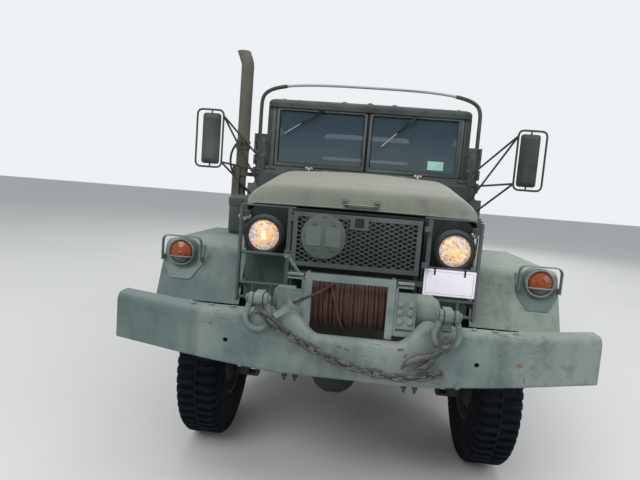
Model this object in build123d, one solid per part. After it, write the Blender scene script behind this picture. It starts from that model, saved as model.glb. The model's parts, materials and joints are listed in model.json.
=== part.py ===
"""Military cargo truck: a 6x6 with a winch in front, a steel cab and an open cargo bed.

Millimetres. X points to the driver's side, Y to the rear, Z up. The pieces are laid out from the
front axle (Y = 0) over the ground (Z = 0), and FRONT_AXLE_Y moves them all so that the origin lies
on the ground under the middle of the truck.
"""
from build123d import *
import os
from math import atan2, cos, degrees, pi, sin

# Place of the front axle from the origin
FRONT_AXLE_Y = -2376.1

# General clearances and stock
FIT = 0.3
GAP = 6.0
SHEET = 6.0
WALL = 40.0

# Wheels and axles
TYRE_RADIUS = 515.0
TYRE_WIDTH = 255.0
TREAD_WIDTH = 212.0
TYRE_SIDES = 18
LUG_DEPTH = 28.0
LUG_WIDTH = 84.0
BEAD_RADIUS = 262.0
BEAD_WIDTH = 190.0
RIM_WALL = 10.0
DISC_OFFSET = 146.0
DISC_HOLE = 112.0
HUB_RADIUS = 80.0
SPINDLE_RADIUS = 38.0
DRUM_RADIUS = 205.0
FRONT_WHEEL_X = 862.0
DUAL_X = 862.0
REAR_AXLES = {"fore": 3302.0, "aft": 4522.0}
BOGIE_Y = 3912.0
KINGPIN_X = 700.0
KINGPIN_REACH = 120.0
AXLE_TUBE_RADIUS = 50.0
DIFF_RADIUS = 190.0
FRONT_DIFF_X = -86.0
REAR_SPINDLE_RADIUS = 45.0
REAR_TUBE_RADIUS = 55.0
SPRING_X = (368.0, 430.0)
REAR_SPRING_X = (450.0, 520.0)
PINION_NOSE = 60.0
PINION_RISE = 15.0
YOKE_HALF_DEPTH = 40.0
YOKE_WALL = 15.0
STEER_ARM = 210.0
TIE_ROD_DIAMETER = 36.0

# Ladder frame
RAIL_X = 430.0
RAIL_WIDTH = 76.0
RAIL_LOW = 840.0
RAIL_HIGH = 1030.0
RAIL_WALL = 8.0
RAIL_END = 5800.0
CROSSMEMBER_DEPTH = 80.0
CROSSMEMBER_Y = (-700.0, -320.0, 1500.0, 1950.0, 3000.0, 3912.0, 4900.0, 5760.0)

# Front bumper
BUMPER_Y = -1114.0
BUMPER_END_Y = -960.0
BUMPER_X = 1118.0
BUMPER_KINK_X = 690.0
BUMPER_LOW = 865.0
BUMPER_HIGH = 1090.0
BUMPER_BELLY = 826.0
BUMPER_BELLY_X = 330.0
BUMPER_WALL = 10.0
BUMPER_FLANGE = 90.0
BUMPER_HOLE = 22.0
BUMPER_HOLE_X = 545.0
BUMPER_HOLE_Z = 955.0
DIP_LOW = 1010.0
DIP_X = (-137.0, 206.0)
DIP_TOP_X = (-253.0, 333.0)

# Winch
WINCH_Y = -930.0
WINCH_DEPTH = 250.0
WINCH_X = (-217.0, 180.0)
WINCH_Z = (1015.0, 1278.0)
WINCH_BAR = 32.0
WINCH_PLATE = 14.0
DRUM_FLANGE_RADIUS = 122.0
DRUM_CORE_RADIUS = 45.0
DRUM_AXIS_Z = 1125.0
ROPE_RADIUS = 112.0
ROPE_DIAMETER = 14.0
GEAR_CASE_X = (272.0, 402.0)
GEAR_CASE_RADIUS = 76.0
BRAKE_CASE_X = (-367.0, -268.0)
BRAKE_CASE_RADIUS = 62.0

# Shackles and chain across the bumper
SHACKLE_X = (-405.0, 405.0)
SHACKLE_Z = 1158.0
SHACKLE_BAR = 26.0
SHACKLE_JAW = 66.0
SHACKLE_BOW = 108.0
SHACKLE_DROP = 135.0
SHACKLE_LUG = 38.0
SHACKLE_Y = BUMPER_Y - 16.0
CHAIN_BAR = 13.0
CHAIN_LINK_LENGTH = 76.0
CHAIN_LINK_WIDTH = 46.0
# Route of the chain across the bumper, as (X, Z) points of its middle line
CHAIN_ROUTE = [(-364.0, 1079.0), (-300.0, 1026.0), (-184.0, 949.0), (-52.0, 902.0), (77.0, 881.0),
               (204.0, 869.0), (318.0, 886.0), (392.0, 908.0)]
# Grab hook under the right shackle, as (X, Z) corners
HOOK_OUTLINE = [(340.0, 1004.0), (268.0, 982.0), (226.0, 934.0), (238.0, 920.0), (286.0, 938.0),
                (262.0, 914.0), (330.0, 934.0), (350.0, 968.0)]
HOOK_WALL = 20.0
# Ends of the link between the hook and the shackle, as (X, Z)
HOOK_LINK = ((352.0, 998.0), (410.0, 1036.0))
# Ends of the clevis at the rope's end, as (X, Z), and its flat bar
CLEVIS_ENDS = ((-262.0, 1148.0), (-330.0, 1088.0))
CLEVIS_BAR = (24.0, 4.0)
CLEVIS_INSIDE = 16.0

# Fenders
FENDER_INNER_X = 606.0
FENDER_OUTER_X = 1062.0
FENDER_TOP = 1300.0
FENDER_BEND = 60.0
FENDER_FRONT_Y = -506.0
FENDER_TOE_Y = -640.0
FENDER_TOE_Z = 1000.0
FENDER_REAR_Y = 480.0
FENDER_HEEL_Y = 742.0
FENDER_HEEL_Z = 1010.0

# Hood and grille
HOOD_FRONT_Y = -618.0
HOOD_REAR_Y = 742.0
HOOD_FRONT_X = 604.0
HOOD_REAR_X = 740.0
HOOD_FRONT_HIGH = 1552.0
HOOD_REAR_HIGH = 1745.0
HOOD_SIDE_LOW = 1430.0
HOOD_WALL = 8.0
# Sections of the hood from its nose to the cowl: place along it, height of the shoulder, height of the
# top's edge, how far in that edge lies, how much the middle is crowned over it, and radius of the bends
HOOD_SECTIONS = [(HOOD_FRONT_Y, 1524.0, HOOD_FRONT_HIGH, 34.0, 6.0, 30.0),
                 (HOOD_FRONT_Y + 26.0, 1566.0, 1622.0, 66.0, 8.0, 50.0),
                 (HOOD_FRONT_Y + 90.0, 1588.0, 1670.0, 104.0, 12.0, 60.0),
                 (HOOD_FRONT_Y + 230.0, 1602.0, 1702.0, 132.0, 17.0, 65.0),
                 (HOOD_REAR_Y, 1648.0, HOOD_REAR_HIGH, 168.0, 24.0, 70.0)]
HOOD_HINGE_Y = 750.0
HOOD_HINGE_Z = 1780.0
HOOD_HINGE_RADIUS = 8.0
HOOD_HANDLE = (88.0, 1565.0, 1587.0)
HOOD_HANDLE_REACH = 18.0
HOOD_HINGES_X = (-320.0, 280.0)
GRILLE_Y = -612.0
GRILLE_LOW = RAIL_HIGH
GRILLE_OPENING_X = (-322.0, 302.0)
GRILLE_OPENING_Z = (1110.0, 1525.0)
MESH_Y = -800.0
MESH_Z = (1265.0, 1530.0)
MESH_FRAME = 22.0
MESH_DIAMOND = (45.0, 22.0)
MESH_STRAND = 3.0
MESH_LUG = 30.0
MESH_LUGS_Z = (1304.0, 1480.0)
DISC_X = -170.0
DISC_Z = 1415.0
DISC_RADIUS = 110.0
GUARD_Y = -740.0
GUARD_DEPTH = 34.0
GUARD_EDGE = 12.0
GUARD_ROD = 16.0
GUARD_POST = 20.0
GUARD_INNER_X = 346.0
GUARD_OUTER_X = 600.0
GUARD_LOW = 1050.0
# Heights of the guard's cross rods under each lamp, and places of the short rods below them
GUARD_RODS_Z = (1070.0, 1145.0, 1300.0)
GUARD_SHORT_X = (420.0, 515.0)
SLATS_X = (-362.0, -342.0, 314.0, 334.0)
LAMP_X = 482.0
LAMP_Z = 1390.0
LAMP_RADIUS = 105.0
LENS_RADIUS = 84.0
LAMP_FRONT_Y = -700.0
PLATE_X = (336.0, 586.0)
PLATE_Z = (1170.0, 1300.0)
SIGNAL_X = 948.0
SIGNAL_Z = 1250.0
SIGNAL_RADIUS = 72.0
SIGNAL_LENS_RADIUS = 62.0
SIGNAL_HOOP = 108.0
SIGNAL_SKIRT_Z = (1105.0, 1200.0)
SIGNAL_FRONT_Y = -592.0
TAIL_LENS_RADIUS = 30.0

# Cab
CAB_X = 795.0
CAB_LOW = 1050.0
COWL_Y = 750.0
CAB_SKIN = 22.0
WINDSHIELD_Y = 806.0
WINDSHIELD_X = 757.0
WINDSHIELD_LOW = 1800.0
PANE_Z = (1832.0, 2246.0)
PANES_X = ((-717.0, -25.0), (30.0, 702.0))
PANE_CORNER = 24.0
# Pivot and tip of each wiper, as (X, Z)
WIPERS = (((-365.0, 2247.0), (-663.0, 2065.0)), ((373.0, 2247.0), (115.0, 2017.0)))
CAB_MOUNTS_Y = (800.0, 1650.0)
DOOR_Y = (871.0, 1719.0)
DOOR_LOW = 1085.0
DOOR_HIGH = 2235.0
DOOR_OUT_X = 803.0
DOOR_WALL = 43.0
DOOR_SILL = 1800.0
DOOR_HINGE_RADIUS = 7.5
DOOR_HINGES_Z = (1240.0, 1600.0)
DOOR_HANDLE_Z = (1560.0, 1590.0)
DOOR_WINDOW_CORNER = 50.0
CAB_BACK_Y = 1750.0
CAB_REAR_Y = 1800.0
ROOF_LOW = 2262.0
ROOF_RISE = 72.0
ROOF_HIGH = ROOF_LOW + ROOF_RISE
ROOF_Y = (785.0, 1815.0)
ROOF_X = 790.0
ROOF_RIBS_X = (-560.0, -280.0, 0.0, 280.0, 560.0)
SCUTTLE_LOW = 1690.0
REAR_WINDOW_X = 430.0
REAR_WINDOW_Z = (DOOR_SILL + 90.0, ROOF_LOW - 62.0)
GLASS_WALL = 6.0
FLOOR_WALL = 40.0
SEAT_Z = 1340.0
SEAT_DEPTH = 100.0
SEATS_X = ((170.0, 640.0), (-700.0, -110.0))
SEATS_Y = (1225.0, 1640.0)
SEAT_BACK_HIGH = 520.0
SEAT_LEG = 30.0
STEERING_WHEEL_RADIUS = 215.0
STEERING_COLUMN_FOOT = (400.0, 905.0, 1450.0)
STEERING_WHEEL_CENTRE = (400.0, 1120.0, 1670.0)

# Mirrors and exhaust
MIRROR_X = (1055.0, 1250.0)
MIRROR_Y = 450.0
MIRROR_Z = (1745.0, 2160.0)
MIRROR_TUBE = 16.0
MIRROR_HEAD_X = (1096.0, 1210.0)
MIRROR_BEND = 42.0
# Heights of the struts' feet on the cab: two from the top of the loop, two from its foot
MIRROR_FEET_Z = (1835.0, 1620.0, 1750.0, 1500.0)
STACK_X = -960.0
STACK_Y = 706.0
STACK_RADIUS = 48.0
SHIELD_RADIUS = 72.0
SHIELD_HEIGHT = 310.0
SHIELD_Z = 1625.0
STACK_BEND = 110.0
STACK_KNEE_Z = 1190.0
PIPE_RADIUS = 38.0
STACK_CLAMP_Z = 1760.0
STACK_TOP_Z = 2560.0
CLEANER_PLACE = (-799.0, 170.0)
CLEANER_RADIUS = 98.0

# Fuel tank, and the box on each side, as (X), (Y) and (Z) pairs, and the steps under the boxes
TANK = ((-900.0, -460.0), (1960.0, 2640.0), (640.0, 1010.0))
SIDE_BOX = ((430.0, 960.0), (960.0, 1600.0), (690.0, 1000.0))
STEP_X = 1080.0
STEP_Z = 600.0

# Cargo bed
BED_Y = (2050.0, 5880.0)
BED_INNER_X = 1117.0
BED_WALL = 40.0
BED_FLOOR = 1300.0
BED_DECK = 40.0
BED_SIDE_HIGH = 1660.0
BED_OUTER_X = 1219.0
BED_TREAD = 4.0
SILL_HEIGHT = 130.0
BED_SILL_LOW = RAIL_HIGH + SILL_HEIGHT
BED_CROSS_Y = (2100.0, 2560.0, 3020.0, 3480.0, 3940.0, 4400.0, 4860.0, 5320.0, 5730.0)
GATE_HINGES_X = (-800.0, -30.0, 740.0)
GATE_HINGE_Z = 1292.0
GATE_WALL = 40.0
GATE_HINGE_RADIUS = 12.0
RACK_POSTS_Y = (2116.0, 3040.0, 3964.0, 4888.0, 5780.0)
RACK_BOARDS_Z = (1720.0, 1850.0, 1980.0, 2070.0)
RACK_BOARD = 100.0
# Middle of the spare wheel
SPARE = (800.0, 2240.0, 742.0)
TAIL_X = 900.0
TAIL_INSET = 120.0
TAIL_Y = BED_Y[1] - TAIL_INSET
TAIL_Z = 1080.0
RACK_HIGH = 2170.0
BOW_Y = 2116.0
BOW_HIGH = 2730.0
BOW_DEPTH = 42.0
BOW_BEND = 210.0
BOW_RISE = 26.0
BOW_MIDDLE_X = 560.0
BOW_MIDDLE = 28.0
PINTLE_Z = 935.0
PINTLE_REACH = 5925.0


def block(x, y, z):
    """A block from its (low, high) pairs along X, Y and Z."""
    centre = Pos((x[0] + x[1]) / 2, (y[0] + y[1]) / 2, (z[0] + z[1]) / 2)
    return centre * Box(x[1] - x[0], y[1] - y[0], z[1] - z[0])


def slab(axis, outline, low, high, radius=0):
    """An outline in the two other axes, in X, Y, Z order, pulled from low to high along axis."""
    place = {"x": lambda a, b: (low, a, b), "y": lambda a, b: (a, low, b), "z": lambda a, b: (a, b, low)}
    pull = {"x": (1, 0, 0), "y": (0, 1, 0), "z": (0, 0, 1)}
    corners = [place[axis](a, b) for a, b in outline]
    if radius:
        line = FilletPolyline(*corners, radius=radius, close=True)
    else:
        line = Polyline(*corners, close=True)
    return extrude(make_face(line), amount=high - low, dir=pull[axis])


def frame_slab(axis, outer, inner, low, high, radius=0):
    """A slab between two (low, high) pairs of pairs: a rectangle with a rectangle cut through it."""
    whole = slab(axis, rectangle(*outer), low, high)
    return whole - slab(axis, rectangle(*inner), low - 1, high + 1, radius)


def rectangle(a, b):
    """The four corners of a rectangle from its (low, high) pairs."""
    return [(a[0], b[0]), (a[1], b[0]), (a[1], b[1]), (a[0], b[1])]


def rod(start, end, diameter, wall=0):
    """A round bar or, with a wall, a pipe between two points."""
    across = Circle(diameter / 2)
    if wall:
        across -= Circle(diameter / 2 - wall)
    direction = Vector(*end) - Vector(*start)
    return extrude(Plane(origin=start, z_dir=direction) * across, amount=direction.length)


def bent_bar(points, bend, diameter, wall=0):
    """A round bar or pipe along straight runs joined by tangent arcs of radius bend."""
    across = Circle(diameter / 2)
    if wall:
        across -= Circle(diameter / 2 - wall)
    start = Plane(origin=points[0], z_dir=Vector(*points[1]) - Vector(*points[0]))
    return sweep(start * across, path=FilletPolyline(*points, radius=bend))


def turned(profile, axis="x"):
    """A solid turned about X, Y or Z from (place along the axis, radius) pairs."""
    place = {"x": lambda a, r: (a, 0, r), "y": lambda a, r: (r, a, 0), "z": lambda a, r: (r, 0, a)}[axis]
    about = {"x": Axis.X, "y": Axis.Y, "z": Axis.Z}[axis]
    return revolve(make_face(Polyline(*[place(a, r) for a, r in profile], close=True)), axis=about)


def both_sides(piece):
    """The piece and its mirror image across the truck."""
    return [piece, mirror(piece, about=Plane.YZ)]


def write(node, *pieces):
    """Writes every solid of the pieces as one node, moved from the front axle to the origin."""
    export_step(Pos(0, FRONT_AXLE_Y, 0) * Compound(children=solids_of(pieces)), f"parts/{node}.step")


def solids_of(pieces):
    """The solids of a piece, or of pieces in nested lists."""
    if isinstance(pieces, (list, tuple)):
        return [solid for piece in pieces for solid in solids_of(piece)]
    return pieces.solids()


# Wheels: every tyre, rim and hub is turned about X and then set on its axle

def ring_of_flats(profile, sides):
    """A ring about X with flat sides, from the closed (place along X, radius) outline of its section."""
    faces = []
    pairs = list(zip(profile, profile[1:] + profile[:1]))
    for side in range(sides):
        here, there = 2 * pi * side / sides, 2 * pi * (side + 1) / sides
        for (x0, r0), (x1, r1) in pairs:
            corners = [(x0, r0 * cos(here), r0 * sin(here)), (x1, r1 * cos(here), r1 * sin(here)),
                       (x1, r1 * cos(there), r1 * sin(there)), (x0, r0 * cos(there), r0 * sin(there))]
            faces.append(make_face(Polyline(*corners, close=True)).face())
    return Solid(Shell(faces))


def tyre():
    """A tyre of flat sides with its middle plane at X = 0, and one bar of tread on every corner."""
    base, half, tread = TYRE_RADIUS - LUG_DEPTH, TYRE_WIDTH / 2, TREAD_WIDTH / 2
    bead = BEAD_RADIUS / cos(pi / TYRE_SIDES)
    body = ring_of_flats([(-BEAD_WIDTH / 2, bead), (-half, (bead + base) / 2), (-tread, base), (tread, base),
                          (half, (bead + base) / 2), (BEAD_WIDTH / 2, bead)], TYRE_SIDES)
    foot, tip = base * cos(pi / TYRE_SIDES) - 10, TYRE_RADIUS
    bar = slab("x", [(-LUG_WIDTH / 2 - 6, foot), (LUG_WIDTH / 2 + 6, foot), (LUG_WIDTH / 2, tip),
                     (-LUG_WIDTH / 2, tip)], -tread, tread)
    bars = [Rot(360 / TYRE_SIDES * number, 0, 0) * bar for number in range(TYRE_SIDES)]
    return body.fuse(*[piece for bar in bars for piece in bar.solids()])


def rim():
    """A disc wheel whose bolting face is DISC_OFFSET out from its middle plane, towards +X."""
    bead, seat = BEAD_WIDTH / 2, BEAD_RADIUS - FIT
    inside = seat - RIM_WALL
    lip = bead + 13
    profile = [(-lip, seat + 14), (-bead - 2, seat), (bead + 2, seat), (lip, seat + 14), (lip - 4, inside),
               (bead - 1, inside), (DISC_OFFSET, DISC_HOLE + 66), (DISC_OFFSET, DISC_HOLE),
               (DISC_OFFSET - RIM_WALL, DISC_HOLE), (DISC_OFFSET - RIM_WALL, DISC_HOLE + 60),
               (bead - 17, inside), (4 - lip, inside)]
    return turned(profile)


def brake_drum(inner_edge):
    """A drum open towards -X, bolted behind the wheel disc, from inner_edge outwards."""
    back = DISC_OFFSET - RIM_WALL - 20
    return turned([(inner_edge, DRUM_RADIUS - 14), (inner_edge, DRUM_RADIUS), (back - 38, DRUM_RADIUS),
                   (back, 146), (back, HUB_RADIUS + FIT), (back - 12, HUB_RADIUS + FIT),
                   (back - 12, 136), (back - 48, DRUM_RADIUS - 14)])


def hub(inner_end, bore, bore_end, outer_end, disc_places):
    """A hub with a flange behind the wheel discs, a pilot through them and a closed cap."""
    low, high = disc_places
    flange = low - 14
    return turned([(inner_end, bore), (bore_end, bore), (bore_end, 0), (outer_end, 0),
                   (outer_end, HUB_RADIUS - 20), (outer_end - 14, HUB_RADIUS - 6), (high, HUB_RADIUS - 6),
                   (high, DISC_HOLE - FIT), (low, DISC_HOLE - FIT), (low, DISC_HOLE + 40),
                   (flange, DISC_HOLE + 40), (flange, HUB_RADIUS), (inner_end, HUB_RADIUS)])


def build_wheels():
    """Two single front wheels and four twin rear wheels."""
    front_hub = hub(-60, SPINDLE_RADIUS + FIT, 62, DISC_OFFSET + 44, (DISC_OFFSET - RIM_WALL, DISC_OFFSET))
    front_metal = [rim(), front_hub, brake_drum(-70)]
    for side, name in ((1, "left"), (-1, "right")):
        place = Pos(side * FRONT_WHEEL_X, 0, TYRE_RADIUS)
        turn = Rot(0, 0, 0 if side > 0 else 180)
        write(f"front_tyre_{name}", place * turn * tyre())
        write(f"front_rim_{name}", [place * turn * piece for piece in front_metal])
    rear_hub = hub(-DISC_OFFSET - 110, REAR_SPINDLE_RADIUS + FIT, 42, 138, (-RIM_WALL, RIM_WALL))
    inner = Pos(-DISC_OFFSET, 0, 0)
    outer = Pos(DISC_OFFSET, 0, 0) * Rot(0, 0, 180)
    rear_metal = [inner * rim(), outer * rim(), rear_hub, inner * brake_drum(-112)]
    for axle, y in REAR_AXLES.items():
        for side, name in ((1, "left"), (-1, "right")):
            place = Pos(side * DUAL_X, y, TYRE_RADIUS) * Rot(0, 0, 0 if side > 0 else 180)
            write(f"{axle}_tyres_{name}", place * inner * tyre(), place * outer * tyre())
            write(f"{axle}_rims_{name}", [place * piece for piece in rear_metal])


# Axles, steering and springs

def differential(x):
    """A banjo housing with its flat sides across X and a pinion nose towards the rear."""
    banjo = turned([(-150, 0), (-150, 90), (-70, DIFF_RADIUS - 14), (-46, DIFF_RADIUS), (46, DIFF_RADIUS),
                    (70, DIFF_RADIUS - 14), (150, 90), (150, 0)])
    return Pos(x, 0, TYRE_RADIUS) * banjo


def build_front_suspension():
    """Driven front axle with yokes for the kingpins, on two leaf springs."""
    z = TYRE_RADIUS
    inner, tip = KINGPIN_X - 115, KINGPIN_X + 35
    axle = differential(FRONT_DIFF_X)
    axle += rod((-inner, 0, z), (inner, 0, z), 2 * AXLE_TUBE_RADIUS)
    axle += rod((FRONT_DIFF_X, 0, z + 15), (FRONT_DIFF_X, DIFF_RADIUS + 60, z + 15), 120)
    reach, outer = KINGPIN_REACH, KINGPIN_REACH + YOKE_WALL
    yoke = [(inner, z - outer), (tip, z - outer), (tip, z - reach), (inner + 18, z - reach),
            (inner + 18, z + reach), (tip, z + reach), (tip, z + outer), (inner, z + outer)]
    for piece in both_sides(slab("y", yoke, -YOKE_HALF_DEPTH, YOKE_HALF_DEPTH)):
        axle += piece
    for piece in both_sides(block(SPRING_X, (-65, 65), (z + AXLE_TUBE_RADIUS - 20, z + 80))):
        axle += piece
    write("front_suspension", axle, both_sides(leaf_spring(z + 80)), both_sides(spring_hangers()))


def leaf_spring(seat):
    """One stack of leaves, thick in the middle, its ends up at the frame."""
    top, end = seat + 78, RAIL_LOW - 48
    half = [(60, seat), (150, seat + 38), (270, seat + 84), (520, end - 12), (520, end), (260, seat + 104)]
    outline = half + [(0, top)] + [(-y, z) for y, z in reversed(half)]
    return slab("x", outline, *SPRING_X)


def spring_hangers():
    """Blocks between the rail and the spring's two ends."""
    return Compound(children=[block(SPRING_X, (y - 24, y + 24), (RAIL_LOW - 48, RAIL_LOW)).solid()
                              for y in (-496, 496)])


def build_steering():
    """Knuckles on vertical kingpins, a spindle out of each, and the tie rod between their arms."""
    z = TYRE_RADIUS
    barrel_half = KINGPIN_REACH - FIT
    spindle_end = FRONT_WHEEL_X + 61
    knuckle = Pos(KINGPIN_X, 0, z) * Cylinder(56, 2 * barrel_half)
    knuckle += rod((KINGPIN_X, 0, z), (spindle_end, 0, z), 2 * SPINDLE_RADIUS)
    plate_x = KINGPIN_X + 74
    plate = turned([(plate_x, 0), (plate_x, DRUM_RADIUS - 20), (plate_x + 8, DRUM_RADIUS - 20), (plate_x + 8, 0)])
    knuckle += Pos(0, 0, z) * plate
    arm_x = KINGPIN_X
    arm = [(arm_x - 50, 0), (arm_x + 50, 0), (arm_x + 26, STEER_ARM), (arm_x - 26, STEER_ARM)]
    arm_low = z - KINGPIN_REACH + 2
    knuckle += slab("z", arm, arm_low, arm_low + 22) - Pos(KINGPIN_X, 0, z) * Cylinder(50, 400)
    eye = Pos(arm_x, STEER_ARM, arm_low + 11)
    knuckle += eye * Cylinder(26, 22)
    write("knuckle_left", knuckle)
    write("knuckle_right", mirror(knuckle, about=Plane.YZ))
    rod_z = arm_low - FIT - 20
    tie_rod = rod((-arm_x, STEER_ARM, rod_z), (arm_x, STEER_ARM, rod_z), TIE_ROD_DIAMETER)
    for piece in both_sides(Pos(arm_x, STEER_ARM, rod_z) * Cylinder(26, 40)):
        tie_rod += piece
    write("tie_rod", tie_rod)


def build_rear_suspension():
    """Two driven rear axles, and between them a cross tube that carries the springs."""
    z = TYRE_RADIUS
    pieces = []
    hub_end = DUAL_X - DISC_OFFSET - 110
    pad_top = z + REAR_TUBE_RADIUS + 20
    for y in REAR_AXLES.values():
        axle = differential(0)
        axle += rod((-hub_end + 8, 0, z), (hub_end - 8, 0, z), 2 * REAR_TUBE_RADIUS)
        axle += rod((-DUAL_X - 40, 0, z), (DUAL_X + 40, 0, z), 2 * REAR_SPINDLE_RADIUS)
        axle += rod((0, -DIFF_RADIUS - 60, z + 15), (0, DIFF_RADIUS + 60, z + 15), 120)
        for pad in both_sides(block(REAR_SPRING_X, (-50, 50), (z + 20, pad_top))):
            axle += pad
        pieces.append(Pos(0, y, 0) * axle)
    tube_z, tube_radius, top = z + 125, 45, RAIL_LOW
    bracket = slab("x", [(BOGIE_Y - 55, tube_z - 60), (BOGIE_Y + 55, tube_z - 60), (BOGIE_Y + 110, top),
                         (BOGIE_Y - 110, top)], RAIL_X - RAIL_WIDTH + 8, RAIL_X)
    tube_end = REAR_SPRING_X[1] + 8
    cross = rod((-tube_end, BOGIE_Y, tube_z), (tube_end, BOGIE_Y, tube_z), 2 * tube_radius)
    saddle = block(REAR_SPRING_X, (BOGIE_Y - 70, BOGIE_Y + 70), (tube_z, tube_z + tube_radius + 18))
    for piece in both_sides(bracket) + both_sides(saddle):
        cross += piece
    pieces.append(cross)
    seat, reach = tube_z + tube_radius + 18, (REAR_AXLES["aft"] - REAR_AXLES["fore"]) / 2
    half = [(70, seat), (210, seat - 20), (400, seat - 66), (reach - 60, pad_top), (reach + 50, pad_top),
            (reach + 50, pad_top + 14), (reach - 60, pad_top + 20), (330, seat + 22), (160, seat + 66)]
    outline = half + [(0, seat + 84)] + [(-y, z) for y, z in reversed(half)]
    pieces += both_sides(Pos(0, BOGIE_Y, 0) * slab("x", outline, *REAR_SPRING_X))
    write("rear_suspension", pieces)


# Ladder frame and what stands on it

def build_chassis_frame():
    """Two channel rails, open inwards, and the crossmembers between their webs."""
    low, high, inner, web = RAIL_LOW, RAIL_HIGH, RAIL_X - RAIL_WIDTH, RAIL_X - RAIL_WALL
    channel = [(RAIL_X, low), (RAIL_X, high), (inner, high), (inner, high - RAIL_WALL),
               (web, high - RAIL_WALL), (web, low + RAIL_WALL), (inner, low + RAIL_WALL), (inner, low)]
    rail = slab("y", channel, BUMPER_Y + BUMPER_WALL, RAIL_END)
    half = CROSSMEMBER_DEPTH / 2
    rows = []
    for y in CROSSMEMBER_Y:
        section = [(y - half, low + 20), (y - half, high - 20), (y + half, high - 20),
                   (y + half, high - 28), (y - half + 8, high - 28), (y - half + 8, low + 28),
                   (y + half, low + 28), (y + half, low + 20)]
        rows.append(slab("x", section, -web, web))
    write("chassis_frame", both_sides(rail), rows)


def build_powertrain():
    """Engine as one plain block, gearbox behind it, transfer case and the shafts to the axles."""
    engine = block((-260, 260), (-240, 640), (765, 1330))
    gearbox = slab("x", [(640, 700), (640, 1040), (900, 1020), (1350, 900), (1350, 720), (900, 700)],
                   -190, 190)
    transfer = slab("y", [(-250, 560), (-250, 800), (-60, 960), (150, 960), (150, 640), (60, 560)],
                    2100, 2480, 40)
    nose = DIFF_RADIUS + 60
    shafts = [((0, 1350, 790), (0, 2100, 770), 76),
              ((-150, 2097, 640), (FRONT_DIFF_X, nose + 4, TYRE_RADIUS + 15), 76),
              ((0, 2488, 680), (0, REAR_AXLES["fore"] - nose - 10, TYRE_RADIUS + 15), 76),
              ((0, REAR_AXLES["fore"] + nose, TYRE_RADIUS + 15),
               (0, REAR_AXLES["aft"] - nose, TYRE_RADIUS + 15), 76)]
    radiator = block((-306, 296), (-590, -520), (RAIL_HIGH + 60, 1530))
    radiator += block((-RAIL_X + 40, RAIL_X - 40), (-600, -510), (RAIL_HIGH, RAIL_HIGH + 60))
    mounts = both_sides(block((260, RAIL_X - RAIL_WIDTH), (-60, 40), (900, 960)))
    write("powertrain", engine, gearbox, transfer, radiator, mounts,
          [rod(start, end, diameter) for start, end, diameter in shafts])


def build_front_bumper():
    """A pressed channel swept back at its ends, its top edge dipped for the winch."""
    edge = [(-BUMPER_X, BUMPER_END_Y), (-BUMPER_KINK_X, BUMPER_Y), (BUMPER_KINK_X, BUMPER_Y),
            (BUMPER_X, BUMPER_END_Y)]
    low, high, dip = BUMPER_LOW, BUMPER_HIGH, DIP_LOW
    face = [(-BUMPER_X, low), (-BUMPER_KINK_X, low), (-BUMPER_BELLY_X, BUMPER_BELLY),
            (BUMPER_BELLY_X, BUMPER_BELLY), (BUMPER_KINK_X, low), (BUMPER_X, low), (BUMPER_X, high),
            (DIP_TOP_X[1] + 38, high), (DIP_TOP_X[1], high + 14), (DIP_X[1], dip), (DIP_X[0], dip),
            (DIP_TOP_X[0], high + 14), (DIP_TOP_X[0] - 60, high), (-BUMPER_X, high)]
    plate, top = [edge + [(x, y + depth) for x, y in reversed(edge)] for depth in (BUMPER_WALL, BUMPER_FLANGE)]
    plate = slab("z", plate, BUMPER_BELLY - 1, high + 20)
    bumper = plate & slab("y", face, BUMPER_Y - 10, BUMPER_END_Y + 100)
    top = slab("z", top, high - BUMPER_WALL, high)
    bumper -= [rod((x, BUMPER_Y - 20, BUMPER_HOLE_Z), (x, BUMPER_Y + 40, BUMPER_HOLE_Z), BUMPER_HOLE)
               for x in (-BUMPER_HOLE_X, BUMPER_HOLE_X)]
    bumper += top - block((DIP_TOP_X[0] - 60, DIP_TOP_X[1] + 38), (-1200, -900), (900, 1200))
    write("front_bumper", bumper)


def build_tow_shackles():
    """Bow shackles hung before the bumper, each on a pin through a forged lug."""
    jaw, wide, low, y = SHACKLE_JAW / 2, SHACKLE_BOW / 2, SHACKLE_Z - SHACKLE_DROP, SHACKLE_Y
    shoulder, top, lug = low + SHACKLE_BOW * 0.66, SHACKLE_Z + 14, SHACKLE_LUG / 2
    forging_outline = [(y - 20, SHACKLE_Z - 24), (y - 20, SHACKLE_Z + 24), (BUMPER_Y + 60, SHACKLE_Z + 24),
                       (BUMPER_Y + 60, BUMPER_HIGH), (BUMPER_Y, BUMPER_HIGH), (BUMPER_Y, SHACKLE_Z - 34)]
    pieces = []
    for x in SHACKLE_X:
        bow = bent_bar([(x - jaw, y, top), (x - wide, y, shoulder), (x - wide, y, low), (x + wide, y, low),
                        (x + wide, y, shoulder), (x + jaw, y, top)], wide - 1, SHACKLE_BAR)
        pin = rod((x - jaw - 20, y, SHACKLE_Z), (x + jaw + 20, y, SHACKLE_Z), SHACKLE_BAR - 2)
        forging = slab("x", forging_outline, x - lug, x + lug)
        pieces.append(bow + pin + forging)
    write("tow_shackles", pieces)


def link_outline(length, width):
    """Centre line of one chain link as a closed outline with cut corners."""
    a, b, cut = length / 2, width / 2, width / 3.4
    return [(-a + cut, -b), (a - cut, -b), (a, -b + cut), (a, b - cut), (a - cut, b), (-a + cut, b),
            (-a, b - cut), (-a, -b + cut)]


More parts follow.
